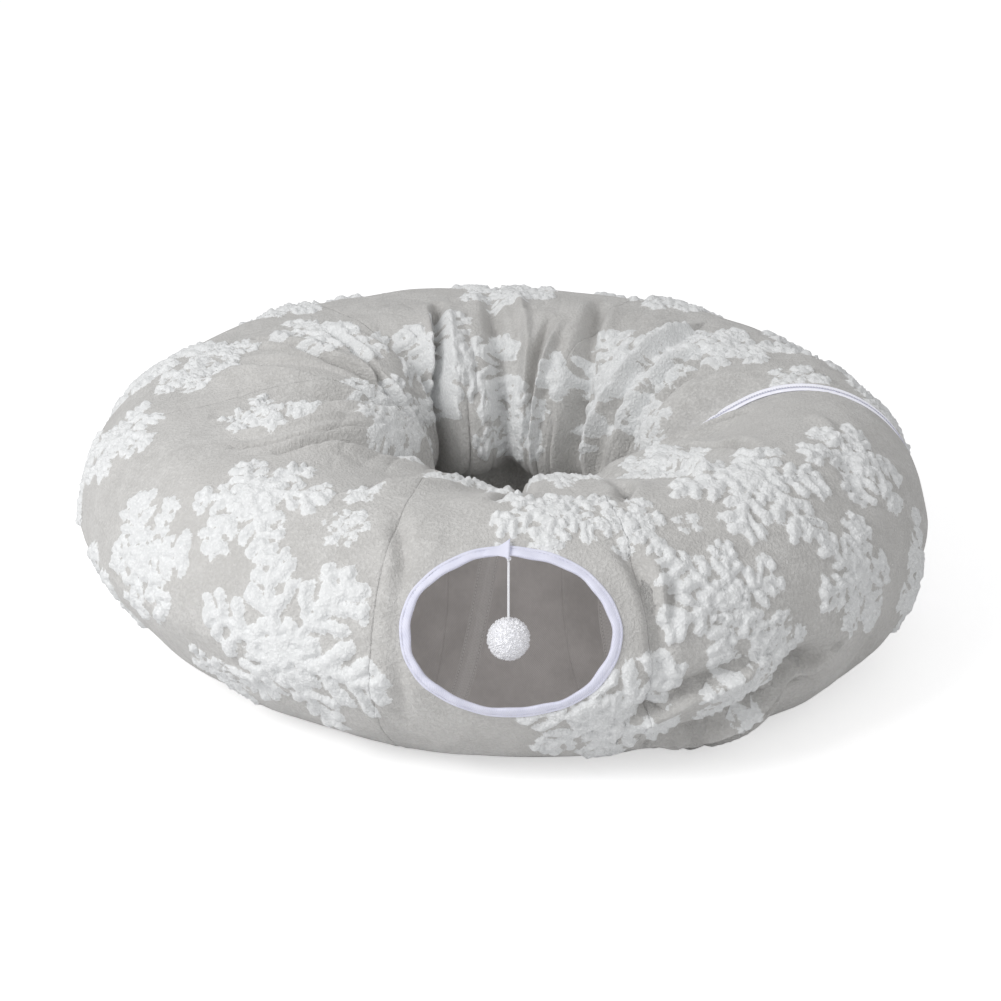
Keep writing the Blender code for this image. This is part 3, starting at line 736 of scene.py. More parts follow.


# Curls of the tall white pile, with a mask for painted shade in the gaps between them
def makeCurls():
    group, source, target = newGroup("curlsOfPile", {"Curl Scale": 260.0}, ["Height", "GapShade"])
    place = source["Vector"]
    bend = noiseNode(group, place, 190.0, 2.0, output="Color")
    push = addNode(group, "ShaderNodeVectorMath", {0: bend, "Scale": 0.0040}, operation="SCALE").outputs[0]
    moved = addNode(group, "ShaderNodeVectorMath", {0: place, 1: push}, operation="ADD").outputs[0]
    inputs = {"Vector": moved, "Scale": source["Curl Scale"], "Smoothness": 0.35}
    cells = addNode(group, "ShaderNodeTexVoronoi", inputs, feature="SMOOTH_F1").outputs["Distance"]
    wisps = noiseNode(group, moved, 900.0, 2.0)
    height = blendOf(group, rampNode(group, cells, 0.75, 0.05), 0.75, wisps, 0.35)
    feed(group, target["Height"], height)
    feed(group, target["GapShade"], rampNode(group, height, 0.62, 0.22))
    return group


# Plain weave on two axes of the surface
def makeWeave():
    group, source, target = newGroup("plainWeave", {"Threads": 900.0}, ["Height", "Shade"])
    parts = addNode(group, "ShaderNodeSeparateXYZ", {0: source["Vector"]}).outputs
    turns = mathNode(group, "MULTIPLY", source["Threads"], math.pi)
    waves = [mathNode(group, "SINE", mathNode(group, "MULTIPLY", parts[k], turns)) for k in range(2)]
    height = rampNode(group, mathNode(group, "MULTIPLY", *waves), -0.8, 0.8)
    feed(group, target["Height"], height)
    slub = noiseNode(group, source["Vector"], 140.0, 3.0)
    feed(group, target["Shade"], blendOf(group, height, 0.45, slub, 0.55))
    return group


nap, curls, weave = makeNap(), makeCurls(), makeWeave()

plushLook = {
    "light": (0.73, 0.722, 0.708),
    "dark": (0.53, 0.522, 0.508),
    "brushed": (0.62, 0.608, 0.592),
    "tuftLight": (0.905, 0.915, 0.92),
    # Painted shade: the white pile's colour where shade falls between its curls and lumps, then how strongly
    # each takes it
    "tuftShade": (0.70, 0.71, 0.715),
    "edgeNoise": 9.0,
    "edgeScale": 260.0,
    "edgeHalf": 0.6,
    "gapShade": 0.38,
    "hollowShade": 0.30,
}


def makePlush():
    values = {"Roughness": 0.95, "Specular IOR Level": 0.12, "Sheen Weight": 0.25,
              "Sheen Roughness": 0.45, "Sheen Tint": (0.95, 0.95, 0.95)}
    look, tree, inputs = newMaterial("plushWithTufts", plushLook["light"], values)
    place = coordsOf(tree)
    # The tuft mask, and the depth between lumps that drives the painted shade
    tuft, dent = [addNode(tree, "ShaderNodeAttribute", attribute_name=name).outputs["Fac"]
                  for name in ("tuft", "hollowShade")]
    fine = groupNode(tree, nap, place, Grain_Scale=330.0, Patch_Scale=34.0)
    ground = mixColour(tree, fine["Shade"], plushLook["dark"], plushLook["light"])
    broad = rampNode(tree, noiseNode(tree, place, 7.0), 0.3, 0.7, (0.0, 0.5))
    ground = mixColour(tree, broad, ground, plushLook["brushed"])
    curl = groupNode(tree, curls, place, Curl_Scale=300.0)
    rough = mathNode(tree, "SUBTRACT", noiseNode(tree, place, plushLook["edgeScale"], 4.0, 0.7), 0.5)
    shifted = mathNode(tree, "MULTIPLY_ADD", rough, plushLook["edgeNoise"], tuft)
    mask = rampNode(tree, shifted, -plushLook["edgeHalf"], plushLook["edgeHalf"])
    # Painted shade: the white pile is darkened in the gaps between curls and in the hollows between lumps
    shaded = mathNode(tree, "ADD", mathNode(tree, "MULTIPLY", curl["GapShade"], plushLook["gapShade"]),
                      mathNode(tree, "MULTIPLY", dent, plushLook["hollowShade"]), clamp=True)
    white = mixColour(tree, shaded, plushLook["tuftLight"], plushLook["tuftShade"])
    bare = mathNode(tree, "SUBTRACT", 1.0, mask)
    normal = bumpNode(tree, mathNode(tree, "MULTIPLY", fine["Height"], bare), 0.55, 0.0016)
    normal = bumpNode(tree, mathNode(tree, "MULTIPLY", curl["Height"], mask), 0.50, 0.0020, normal)
    coat(tree, inputs, mixColour(tree, mask, ground, white), normal)
    return look


def makeClothLook(name, light, dark, threads, roughness, sheen, coords, glow):
    values = {"Roughness": roughness, "Sheen Weight": sheen, "Specular IOR Level": 0.3}
    look, tree, inputs = newMaterial(name, light, values)
    woven = groupNode(tree, weave, coordsOf(tree, coords), Threads=threads)
    colour = mixColour(tree, woven["Shade"], dark, light)
    tone = rampNode(tree, noiseNode(tree, coordsOf(tree), 16.0, 4.0, 0.6), 0.3, 0.7, (0.86, 1.08))
    toned = addNode(tree, "ShaderNodeVectorMath", {0: colour, "Scale": tone}, operation="SCALE").outputs[0]
    coat(tree, inputs, toned, bumpNode(tree, woven["Height"], 0.25, 0.0002), glow)
    return look


def makeTapeLook(name, light, dark, glow):
    look, tree, inputs = newMaterial(name, light, {"Roughness": 0.6, "Sheen Weight": 0.15})
    place = coordsOf(tree)
    woven = groupNode(tree, weave, place, Threads=1300.0)
    shade = blendOf(tree, woven["Shade"], 0.5, noiseNode(tree, place, 60.0, 3.0), 0.5)
    colour = mixColour(tree, rampNode(tree, shade, 0.25, 0.7), dark, light)
    coat(tree, inputs, colour, bumpNode(tree, woven["Height"], 0.2, 0.0003), glow)
    return look


def makeThreadLook(name, light, dark, glow):
    look, tree, inputs = newMaterial(name, light, {"Roughness": 0.85, "Sheen Weight": 0.2})
    fine = groupNode(tree, nap, coordsOf(tree), Grain_Scale=1500.0, Patch_Scale=120.0)
    colour = mixColour(tree, fine["Shade"], dark, light)
    coat(tree, inputs, colour, bumpNode(tree, fine["Height"], 0.3, 0.0003), glow)
    return look


# Plastic and brushed metal, with a grain in their colour, gloss and surface
def makeHardLook(name, colour, rough, speck, grain, bump, metallic=0.0, stretch=(1, 1, 1)):
    look, tree, inputs = newMaterial(name, colour, {"Metallic": metallic})
    mapping = addNode(tree, "ShaderNodeMapping", {"Vector": coordsOf(tree), "Scale": stretch})
    noise = noiseNode(tree, mapping.outputs[0], *grain, 0.6)
    darker = tuple(v * (1 - speck) for v in colour)
    feed(tree, inputs["Roughness"], rampNode(tree, noise, 0.3, 0.7, rough))
    coat(tree, inputs, mixColour(tree, noise, darker, colour), bumpNode(tree, noise, bump, 0.0001))
    return look


def makePlastic(name, colour, roughness, speck):
    return makeHardLook(name, colour, (roughness - 0.07, roughness + 0.07), speck, (900.0, 3.0), 0.1)


def makeMetal(name, colour, roughness, metallic):
    return makeHardLook(name, colour, (roughness - 0.08, roughness + 0.10), 0.14, (260.0, 4.0), 0.06,
                        metallic, (1, 1, 14))


# Meshes, and how each piece is added to the frame
def addPiece(name, data, look, slot, body, *replaced):
    obj = addObject(name, data)
    data.materials.append(look)
    data.shade_smooth()
    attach(obj, body)
    if replaced:
        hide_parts(*replaced)
    return obj


def dataFrom(name, bm):
    data = bpy.data.meshes.new(name)
    bm.to_mesh(data)
    bm.free()
    return data


def meshFrom(name, points, quads, others=(), outward=False):
    data = bpy.data.meshes.new(name)
    faces = [tuple(int(i) for i in face) for group in (quads, others) for face in group]
    data.from_pydata([tuple(point) for point in points], [], faces)
    data.validate(clean_customdata=False)
    if outward:
        bm = bmesh.new()
        bm.from_mesh(data)
        bmesh.ops.recalc_face_normals(bm, faces=bm.faces)
        bm.to_mesh(data)
        bm.free()
    return data


def pointsOf(data):
    points = np.empty(len(data.vertices) * 3)
    data.vertices.foreach_get("co", points)
    return points.reshape(-1, 3)


def setPoints(data, points):
    data.vertices.foreach_set("co", points.ravel())
    data.update()


def evaluated(obj):
    graph = bpy.context.evaluated_depsgraph_get()
    return bpy.data.meshes.new_from_object(obj.evaluated_get(graph))


def setValues(data, name, values):
    layer = data.attributes.new(name, "FLOAT", "POINT")
    layer.data.foreach_set("value", np.ascontiguousarray(values, np.float32))


def setUv(data, spots):
    layer = data.uv_layers.new(name="UVMap")
    index = np.empty(len(data.loops), np.int32)
    data.loops.foreach_get("vertex_index", index)
    layer.data.foreach_set("uv", np.ascontiguousarray(spots[index], np.float32).ravel())


def gridOf(shape, first=0):
    return first + np.arange(shape[0] * shape[1]).reshape(shape[:2])


# Quads between the rows of a grid, closed round the other way if it wraps
def quadsOf(index, wrap=True):
    here, last = (index, np.roll(index, -1, axis=1)) if wrap else (index[:, :-1], index[:, 1:])
    return np.stack([here[:-1], here[1:], last[1:], last[:-1]], -1).reshape(-1, 4)


# Joins a fine edge to one with fewer points
def rimFaces(fine, coarse, times, flip):
    faces = []
    for i, mine in enumerate(coarse):
        following = coarse[(i + 1) % len(coarse)]
        for j in range(times):
            a, b = fine[i * times + j], fine[(i * times + j + 1) % len(fine)]
            if j == times // 2:
                faces.append((a, following, mine))
            faces.append((a, b, mine if j < times // 2 else following))
    return [(a, c, b) for a, b, c in faces] if flip else faces


# Two equal layers of cloth, joined at the panel's seams and round the entrance
def shellQuads(shape, fromHole=None):
    outer = gridOf(shape)
    shift = outer.size
    inner = outer + shift
    outerQuads, innerQuads = quadsOf(outer), quadsOf(inner)[:, ::-1]
    joined = [quadsOf(np.stack([inner[0], outer[0]])), quadsOf(np.stack([outer[-1], inner[-1]]))]
    if fromHole is not None:
        away = fromHole.reshape(-1)[outerQuads].mean(axis=1)
        keep = away > entrance["web"] + 0.002
        edges = {}
        for quad in outerQuads[~keep]:
            for a, b in zip(quad, np.roll(quad, -1)):
                if (b, a) in edges:
                    del edges[(b, a)]
                else:
                    edges[(a, b)] = True
        joined.append(np.array([(a, b, b + shift, a + shift) for a, b in edges]))
        outerQuads, innerQuads = outerQuads[keep], innerQuads[keep]
    return np.concatenate([outerQuads, innerQuads] + joined)


def circle(centre, across, up, sides):
    turns = [math.tau * k / sides for k in range(sides)]
    return [centre + across * math.cos(turn) + up * math.sin(turn) for turn in turns]


# A closed rod through rings of points
def addTube(bm, rings):
    loops = [[bm.verts.new(point) for point in ring] for ring in rings]
    for low, high in zip(loops, loops[1:]):
        for k in range(len(low)):
            following = (k + 1) % len(low)
            bm.faces.new((low[k], low[following], high[following], high[k]))
    bm.faces.new(loops[0][::-1])
    bm.faces.new(loops[-1])


# A profile of distances and heights, turned round +Z
def spun(profile, segments, merge):
    bm = bmesh.new()
    verts = [bm.verts.new((x, 0, z)) for x, z in profile]
    edges = [bm.edges.new(pair) for pair in zip(verts, verts[1:])]
    bmesh.ops.spin(bm, geom=verts + edges, cent=(0, 0, 0), axis=(0, 0, 1), dvec=(0, 0, 0),
                   angle=math.tau, steps=segments, use_merge=True)
    bmesh.ops.remove_doubles(bm, verts=bm.verts, dist=merge)
    bmesh.ops.recalc_face_normals(bm, faces=bm.faces)
    return bm


zipper = {
    "low": -52.0,
    "high": 154.0,
    "open": 9,
    "fade": 3,
    "width": 0.0065,
    "tapeHalf": 0.0100,
    "coilWidth": 0.0036,
    "coilEnd": 1.5,
    "coilPitch": 0.0015,
    "coilSides": (1, 0.92, 0.2, -0.42, -0.5),
    "coilRises": (0.0002, 0.00085, 0.00105, 0.0007, 0.0),
    "light": (0.92, 0.925, 1.0),
    "dark": (0.82, 0.825, 0.92),
    "seamGap": 0.00003,
}

# Seams between the panels: a groove, the swell beside it, the tug of its thread and
# the cover pressed down along the zip
seam = {
    "groove": (0.0008, 0.0040),
    "swell": (0.0006, 0.010),
    "tug": (0.0006, 0.006),
    "tugMiddle": 0.005,
    "tugWaves": (0.0021, 0.0067),
    "zip": (0.0016, 0.0118),
    "zipFade": 6,
}

# The covers' grids. Only the front, which has the entrance, has as fine an inner face.
coverGrid = {
    "shownRows": 264,
    "floorRows": 30,
    "frontStep": 0.25,
    "restStep": 0.3,
    "quickTimes": 2,
    "innerTimes": 6,
    "bareHem": 0.0095,
    "floorStart": (238, 256),
    "floorEnd": (284, 302),
}


def endShift(angle, sections):
    narrow, wide = zipper["seamGap"], zipper["width"] / 2 + fabricGap
    if abs(turnFrom(angle, joinAngle)) >= 1:
        return np.full(len(sections), narrow)
    turn = turnFrom(sections, 0)
    low, high, fade = zipper["low"] - zipper["open"], zipper["high"] + zipper["open"], zipper["fade"]
    share = stepUp(low - fade, low + fade, turn) * (1 - stepUp(high - fade, high + fade, turn))
    return narrow + (wide - narrow) * share


def panelAngles(side, sections, step):
    start, stop = panels[side]
    reach = ringRadius + tubeRadius * cosOf(sections)
    first = start + np.degrees(endShift(start, sections) / reach)
    last = stop - np.degrees(endShift(stop, sections) / reach)
    count = int(round((stop - start) / step / 6)) * 6
    return first + (last - first) * np.linspace(0, 1, count + 1)[:, None]


def seamDip(around, section, side):
    start, stop = panels[side]
    plain = onRing(around, section, tubeRadius)
    off = np.radians(np.minimum(np.abs(around - start), np.abs(stop - around))) * reachOf(plain)
    along = np.radians(section) * tubeRadius
    short, long = seam["tugWaves"]
    tug = np.sin(along / short) * np.sin(along / long + 1)
    turn = turnFrom(section, 0)
    zipped = stepUp(zipper["low"] - seam["zipFade"], zipper["low"], turn)
    zipped = zipped * (1 - stepUp(zipper["high"], zipper["high"] + seam["zipFade"], turn))
    dip = seam["swell"][0] * bell(off, seam["swell"][1]) - seam["groove"][0] * bell(off, seam["groove"][1])
    dip = dip - seam["zip"][0] * zipped * bell(fromJoin(around, plain), seam["zip"][1], 4)
    return dip + seam["tug"][0] * tug * bell(off - seam["tugMiddle"], seam["tug"][1])


def makeCover(side):
    first, floor = ring["firstSection"], ring["floorSection"]
    shown = np.linspace(first, floor, coverGrid["shownRows"], endpoint=False)
    hidden = np.linspace(floor, first + 360, coverGrid["floorRows"], endpoint=False)
    sections = np.concatenate([shown, hidden])
    step = coverGrid["frontStep" if side == "front" else "restStep"]
    around = panelAngles(side, sections, step * (1))
    section = np.broadcast_to(sections, around.shape)

    # The tufts stop short of the binding and of the zip, and lie flat on the floor
    plain = onRing(around, section, tubeRadius)
    fromHole = outsideEntrance(plain)
    places = evenSurface(around, section)
    depth = np.minimum(tuftDepth(places), (fromHole - coverGrid["bareHem"]) * 0.9 + 0.001)
    zipped = (sinOf(section) > -0.8) & (section % 360 < 150)
    besideZip = np.minimum(depth, fromJoin(around, moulded(plain)) - seam["zip"][1])
    depth = np.where(zipped, besideZip, depth)
    relief, hollowShade = tuftRelief(places, depth)
    onFloor = stepUp(*coverGrid["floorStart"], section % 360)
    onFloor = onFloor * (1 - stepUp(*coverGrid["floorEnd"], section % 360))

    radius = plushRadius(around, section) + seamDip(around, section, side)
    thick, times = ring["coverThickness"], 1 if side == "front" else coverGrid["innerTimes"]
    outer = moulded(onRing(around, section, radius + relief * (1 - onFloor)))
    inner = moulded(onRing(around, section, radius - thick, thick))[::times, ::times]
    others = []
    if side == "front":
        quads = shellQuads(outer.shape, fromHole)
    else:
        index = gridOf(outer.shape)
        under = gridOf(inner.shape, index.size)
        quads = np.concatenate([quadsOf(index), quadsOf(under)[:, ::-1]])
        others = rimFaces(index[0], under[0], times, False) + rimFaces(index[-1], under[-1], times, True)
    points = np.concatenate([outer.reshape(-1, 3), inner.reshape(-1, 3)])
    data = meshFrom("cover_" + side, points, quads, others)
    spare = len(points) - depth.size
    setValues(data, "tuft", np.concatenate([depth.ravel() * 1000, np.full(spare, -9.0)]))
    setValues(data, "hollowShade", np.concatenate([hollowShade.ravel(), np.zeros(spare)]))
    obj = addPiece("plush_" + side, data, plush, "plush", "tunnel", "cover_" + side)


plush = makePlush()
for side in panels:
    makeCover(side)
    print("plush panel", side)

# Lining, drawn in a little between the turns of the spring
lining = {
    "columnStep": 0.5,
    "rows": 240,
    "sag": 0.0035,
    "wrinkle": 0.0016,
    "wrinkleSize": 0.045,
    "wrinkleStretch": (1, 1, 0.5),
    "calm": (0.004, 0.045),
    "light": (0.57, 0.548, 0.538),
    "dark": (0.45, 0.432, 0.424),
    "threads": 700.0,
    # Painted light: the lining gives off a little of its own colour, standing in for light that comes
    # through the thin cloth
    "glow": 0.20,
}


def liningRadius(around, section):
    plain = onRing(around, section, tubeRadius)
    near = stepUp(*lining["calm"], outsideEntrance(plain))
    lined = np.abs(swell(plain * np.array(lining["wrinkleStretch"]), lining["wrinkleSize"], 91))
    drop = lining["sag"] * betweenTurns(around, section) ** 2 + lining["wrinkle"] * (1 - lined) ** 3
    outer = tubeRadius - ring["coverThickness"] - fabricGap
    covered = plushRadius(around, section) - ring["coverThickness"] - 4 * fabricGap
    return np.minimum(outer - near * drop, covered)


def makeLining(side):
    first = ring["firstSection"]
    sections = np.linspace(first, first + 360, lining["rows"], endpoint=False)
    around = panelAngles(side, sections, lining["columnStep"])
    section = np.broadcast_to(sections, around.shape)
    radius = liningRadius(around, section)
    layers = [onRing(around, section, radius, ring["coverThickness"] + fabricGap),
              onRing(around, section, radius - ring["liningThickness"], fabricStack)]
    fromHole = outsideEntrance(onRing(around, section, tubeRadius)) if side == "front" else None
    points = moulded(np.concatenate(layers)).reshape(-1, 3)
    data = meshFrom("lining_" + side, points, shellQuads(around.shape, fromHole))
    spots = np.stack([np.radians(around) * ringRadius, np.radians(section) * tubeRadius], -1)
    setUv(data, np.concatenate([spots, spots]).reshape(-1, 2))
    obj = addPiece("cloth_" + side, data, liningCloth, "lining", "tunnel", "lining_" + side)


liningCloth = makeClothLook("liningCloth", lining["light"], lining["dark"], lining["threads"],
                            0.72, 0.12, "UV", lining["glow"])
for side in panels:
    makeLining(side)
print("lining made")

# The channel that holds the spring: a tape laid over the wire and sewn down along both edges
channel = {
    "width": 0.020,
    "thickness": 0.0008,
    "lift": 0.0004,
    "shares": (-1, -0.86, -0.72, -0.55, -0.36, -0.18, 0, 0.18, 0.36, 0.55, 0.72, 0.86, 1),
    "humpShare": 0.42,
    "endMargin": 1.5,
    "endSkip": 15,
    "capLength": 0.010,
    "pointsPerTurn": 72,
    "stitchOffset": 0.0078,
    "stitchPitch": 0.0034,
    "light": (0.60, 0.582, 0.575),
    "dark": (0.48, 0.464, 0.456),
    "thread": (0.64, 0.622, 0.614),
    # the painted shade in the grooves beside the stitch rows
    "groove": (0.14, 0.13, 0.122),
    "threads": 620.0,
    # Painted light: the tape gives off a little of its colour, like the lining, for light that comes through
    # the cloth
    "glow": 0.22,
}


def makeChannelLook():
    values = {"Roughness": 0.75, "Sheen Weight": 0.1}
    look, tree, inputs = newMaterial("channelTape", channel["light"], values)
    place = coordsOf(tree, "UV")
    woven = groupNode(tree, weave, place, Threads=channel["threads"])
    parts = addNode(tree, "ShaderNodeSeparateXYZ", {0: place}).outputs
    off = mathNode(tree, "SUBTRACT", mathNode(tree, "ABSOLUTE", parts[1]), channel["stitchOffset"])
    row = mathNode(tree, "ABSOLUTE", off)
    beat = mathNode(tree, "FRACT", mathNode(tree, "DIVIDE", parts[0], channel["stitchPitch"]))
    away = mathNode(tree, "ABSOLUTE", mathNode(tree, "SUBTRACT", beat, 0.5))
    inRow, inStitch = rampNode(tree, row, 0.00055, 0.00030), rampNode(tree, away, 0.40, 0.33)
    stitch = mathNode(tree, "MULTIPLY", inRow, inStitch)
    groove = rampNode(tree, row, 0.0016, 0.0002)
    colour = mixColour(tree, woven["Shade"], channel["dark"], channel["light"])
    # Painted shade: the tape is darkened in the groove along each row of stitches
    colour = mixColour(tree, mathNode(tree, "MULTIPLY", groove, 0.35), colour, channel["groove"])
    colour = mixColour(tree, stitch, colour, channel["thread"])
    normal = bumpNode(tree, woven["Height"], 0.25, 0.0002)
    normal = bumpNode(tree, blendOf(tree, stitch, 0.8, groove, -0.6), 0.6, 0.0007, normal)
    coat(tree, inputs, colour, normal, channel["glow"])
    return look


def makeChannel():
    turns, phase, margin = folds["turns"], folds["phase"], channel["endMargin"]
    skip = math.degrees(channel["capLength"] / loopRadius) + channel["endSkip"]
    start = 180 - turns * (joinAngle - margin - phase - folds["lean"]) + skip
    stop = 180 + turns * (phase - joinAngle + 360 - margin) - skip
    sections = np.linspace(start, stop, int((stop - start) / 360 * channel["pointsPerTurn"]))
    shares = np.array(channel["shares"])
    side = shares * channel["width"] / 2
    around = wireRingAngle(sections)
    angles = around[:, None] + np.degrees(side / (ringRadius + loopRadius * cosOf(sections))[:, None])
    section = np.broadcast_to(sections[:, None], angles.shape)
    under = liningRadius(angles, section) - ring["liningThickness"] - channel["lift"]
    flat = onRing(angles, section, under, fabricStack + channel["lift"])
    outward = np.stack([cosOf(around), sinOf(around), 0 * around], -1)
    tangent = np.stack([-sinOf(around), cosOf(around), 0 * around], -1)
    radial = outward * cosOf(sections)[:, None] + np.array([0, 0, 1]) * sinOf(sections)[:, None]
    over = outward * ringRadius + np.array([0, 0, loopHeight])
    over = over + radial * (loopRadius - spring["wireRadius"] - 2 * fabricGap)
    humped = over[:, None] + tangent[:, None] * side[:, None]
    rise = bell(shares, channel["humpShare"], 4)[:, None]
    top = flat * (1 - rise) + humped * rise
    bottom = top - radial[:, None] * channel["thickness"]
    loops = np.concatenate([moulded(top), moulded(bottom)[:, ::-1]], axis=1)
    index = gridOf(loops.shape)
    ends = [index[0][::-1], index[-1]]
    data = meshFrom("wireChannel", loops.reshape(-1, 3), quadsOf(index), ends, outward=True)
    along = np.radians(sections)[:, None] * loopRadius
    across = np.concatenate([side, side[::-1]])
    setUv(data, np.stack(np.broadcast_arrays(along, across), -1).reshape(-1, 2))
    addPiece("springChannel", data, makeChannelLook(), "channel_tape", "tunnel", "wire_channel")


makeChannel()
print("channel made")

# The binding wrapped over the cut edges of the entrance. Its section is a path of shares:
# of its width from the oval, and of its half thickness over the cloth (1) and under it (-1).
binding = {
    "steps": 260,
    "outerPath": [(1.0, 0.70), (0.98, 0.92), (0.90, 1.02), (0.80, 1.06), (0.73, 0.90), (0.66, 1.06),
                  (0.50, 1.12), (0.30, 1.12), (0.14, 1.0), (0.04, 0.6), (0.0, 0.0), (0.04, -0.6),
                  (0.14, -1.0), (0.40, -1.08), (0.80, -1.0), (0.98, -0.9), (1.0, -0.70)],
    "innerPath": [(0.97, -0.72), (0.60, -0.72), (0.22, -0.70), (0.17, 0.0), (0.22, 0.70), (0.60, 0.72),
                  (0.97, 0.72)],
    "light": (0.785, 0.79, 0.91),
    "dark": (0.66, 0.67, 0.81),
    # Painted light: the tape gives off a little of its colour so that it looks brighter
    "glow": 0.08,
    "stitchOffset": 0.0066,
    "stitchPitch": 0.0036,
    "stitchLength": 0.0025,
    "threadRadius": 0.00028,
    "lapThickness": 0.0007,
}
bindingMiddle = tubeRadius - fabricStack / 2
bindingHalf = fabricStack / 2 + fabricGap + entrance["wall"]


# Where a line out of the entrance's plane meets the tube, found by halving
def onTube(across, up, radius):
    base = sectionCentre + np.stack([across, 0 * across, 0 * across], -1) + up[..., None] * upOf
    near, far = np.zeros(across.shape), np.full(across.shape, 2 * tubeRadius)
    for _ in range(44):
        middle = (near + far) / 2
        point = base + middle[..., None] * outOf
        inside = np.hypot(reachOf(point) - ringRadius, point[..., 2] - tubeHeight) < radius
        near, far = np.where(inside, middle, near), np.where(inside, far, middle)
    return moulded(base + near[..., None] * outOf)


def ovalPoint(turn, offset):
    return ((entrance["width"] / 2 + offset) * np.cos(turn),
            (entrance["height"] / 2 + offset) * np.sin(turn))


def makeBinding():
    turn = math.tau * np.arange(binding["steps"]) / binding["steps"]
    pucker = 0.0007 * np.sin(turn * 7 + 1.3) + 0.0004 * np.sin(turn * 17 + 0.4)
    flatten = -0.0010 * np.abs(np.sin(turn * 3.5 + 0.6))
    loops = []
    for share, rise in binding["outerPath"] + binding["innerPath"]:
        edge = (1 - share) * (pucker + flatten) + share * 0.4 * pucker
        across, up = ovalPoint(turn, share * (entrance["web"] + entrance["overlap"]) + edge)
        lift = 1 + 0.10 * np.sin(turn * 23) * (share < 0.8)
        loops.append(onTube(across, up, bindingMiddle + rise * bindingHalf * lift))
    loops = np.stack(loops, 1)
    index = gridOf(loops.shape)
    quads = quadsOf(np.concatenate([index, index[:1]]))
    data = meshFrom("binding", loops.reshape(-1, 3), quads, outward=True)
    addPiece("entranceBinding", data, tapeLook, "binding_tape", "tunnel", "entrance_binding")


# One row of stitches near the outer edge
def makeStitches():
    turn = np.linspace(0, math.tau, 2000)
    height = np.full(turn.shape, bindingMiddle + bindingHalf * 1.04)
    line = onTube(*ovalPoint(turn, binding["stitchOffset"]), height)
    run = np.concatenate([[0], np.cumsum(np.linalg.norm(np.diff(line, axis=0), axis=1))])
    count = int(run[-1] / binding["stitchPitch"])
    half, radius = binding["stitchLength"] / 2, binding["threadRadius"]
    bm = bmesh.new()
    for i in range(count):
        at = run[-1] * (i + 0.5) / count
        a, b = [Vector([np.interp(at + off, run, line[:, k]) for k in range(3)]) for off in (-half, half)]
        verts = bmesh.ops.create_uvsphere(bm, u_segments=6, v_segments=4, radius=radius)["verts"]
        turnTo = Vector((0, 0, 1)).rotation_difference((b - a).normalized()).to_matrix().to_4x4()
        stretch = Matrix.Diagonal((1, 1, (b - a).length / 2 / radius, 1))
        bmesh.ops.transform(bm, matrix=Matrix.Translation((a + b) / 2) @ turnTo @ stretch, verts=verts)
    addPiece("bindingStitches", dataFrom("bindingStitches", bm), threadLook, "binding_tape", "tunnel")


# The tape's end laps over its start and is turned up to a point: u runs along it
# and v across it
def makeLap():
    u, v = np.meshgrid(np.linspace(0, 1, 15), np.linspace(0, 1, 9), indexing="ij")
    across = -0.026 + 0.0265 * u + 0.0012 * v * u
    arch = np.sqrt(1 - (2 * across / entrance["width"]) ** 2)
    up = entrance["height"] / 2 * arch + 0.0016 - 0.0022 * u + (0.0042 + 0.0046 * u) * v
    up = up + 0.0075 * u ** 3 * v - 0.0030 * u ** 6 * (1 - v)
    rise = 0.0022 * np.minimum(1, 3 * u) - 0.0016 + 0.0007 * np.sin(math.pi * v) ** 0.6
    rise = rise + 0.0028 * u ** 4 * v + 0.0005 * np.sin(u * 7) * v * u
    face = bindingMiddle + bindingHalf + rise
    layers = [onTube(across, up, face - layer * binding["lapThickness"]) for layer in range(2)]
    index = gridOf(u.shape)
    shift = index.size
    border = [*index[:, 0], *index[-1, 1:], *index[-2::-1, -1], *index[0, -2:0:-1]]
    rim = [(a, b, b + shift, a + shift) for a, b in zip(border, border[1:] + border[:1])]
    quads = [*quadsOf(index, False), *quadsOf(index + shift, False)[:, ::-1], *rim]
    data = meshFrom("lap", np.concatenate(layers).reshape(-1, 3), quads, outward=True)
    addPiece("bindingLap", data, tapeLook, "binding_tape", "tunnel", "binding_lap")


tapeLook = makeTapeLook("bindingTape", binding["light"], binding["dark"], binding["glow"])
threadLook = makeThreadLook("whiteThread", (0.86, 0.86, 0.93), (0.70, 0.70, 0.80), 0.0)
makeBinding()
makeStitches()
makeLap()
print("binding made")

# The hanging toy: a knot at the binding, a twisted cord and a pompom of cut yarn
toy = {
    "pivot": (0.0, -0.39357, 0.22177),
    "knotYarn": 0.00085,
    "knotSize": 0.00062,
    "knotPoints": 60,
    "cordTop": 0.21887,
    "cordLength": 0.056,
    "cordRadius": 0.00115,
    "cordSteps": 70,
    "cordSides": 18,
    "twistPitch": 0.0052,
    "pompomGap": 0.0003,
    "pompomRadius": 0.020,
    "core": 0.88,
    "strands": 1500,
    "strandTurn": 2.399963,
    "strandRadius": 0.00078,
    "strandPath": [(0.60, 0.9), (0.80, 1.0), (0.93, 1.15), (1.0, 0.75)],
    "strandBend": 0.0016,
    "seed": 7,
}


def makeCord():
    x, y = toy["pivot"][:2]
    share = np.linspace(0, 1, toy["cordSteps"] + 1)[:, None]
    angle = math.tau * np.arange(toy["cordSides"]) / toy["cordSides"]
    twist = share * toy["cordLength"] / toy["twistPitch"] * math.tau
    radius = toy["cordRadius"] * (0.90 + 0.12 * np.abs(np.cos(1.5 * (angle - twist))))
    height = toy["cordTop"] - toy["cordLength"] * share
    parts = (x + radius * np.cos(angle), y + radius * np.sin(angle), height)
    points = np.stack(np.broadcast_arrays(*parts), -1)
    index = gridOf(points.shape)
    ends = [index[0], index[-1][::-1]]
    data = meshFrom("cord", points.reshape(-1, 3), quadsOf(index), ends, outward=True)
    cord = addPiece("toyCord", data, yarnLook, "white_yarn", "toy", "toy_cord")
    return cord, [(x, y, float(z)) for z in height[:, 0]]


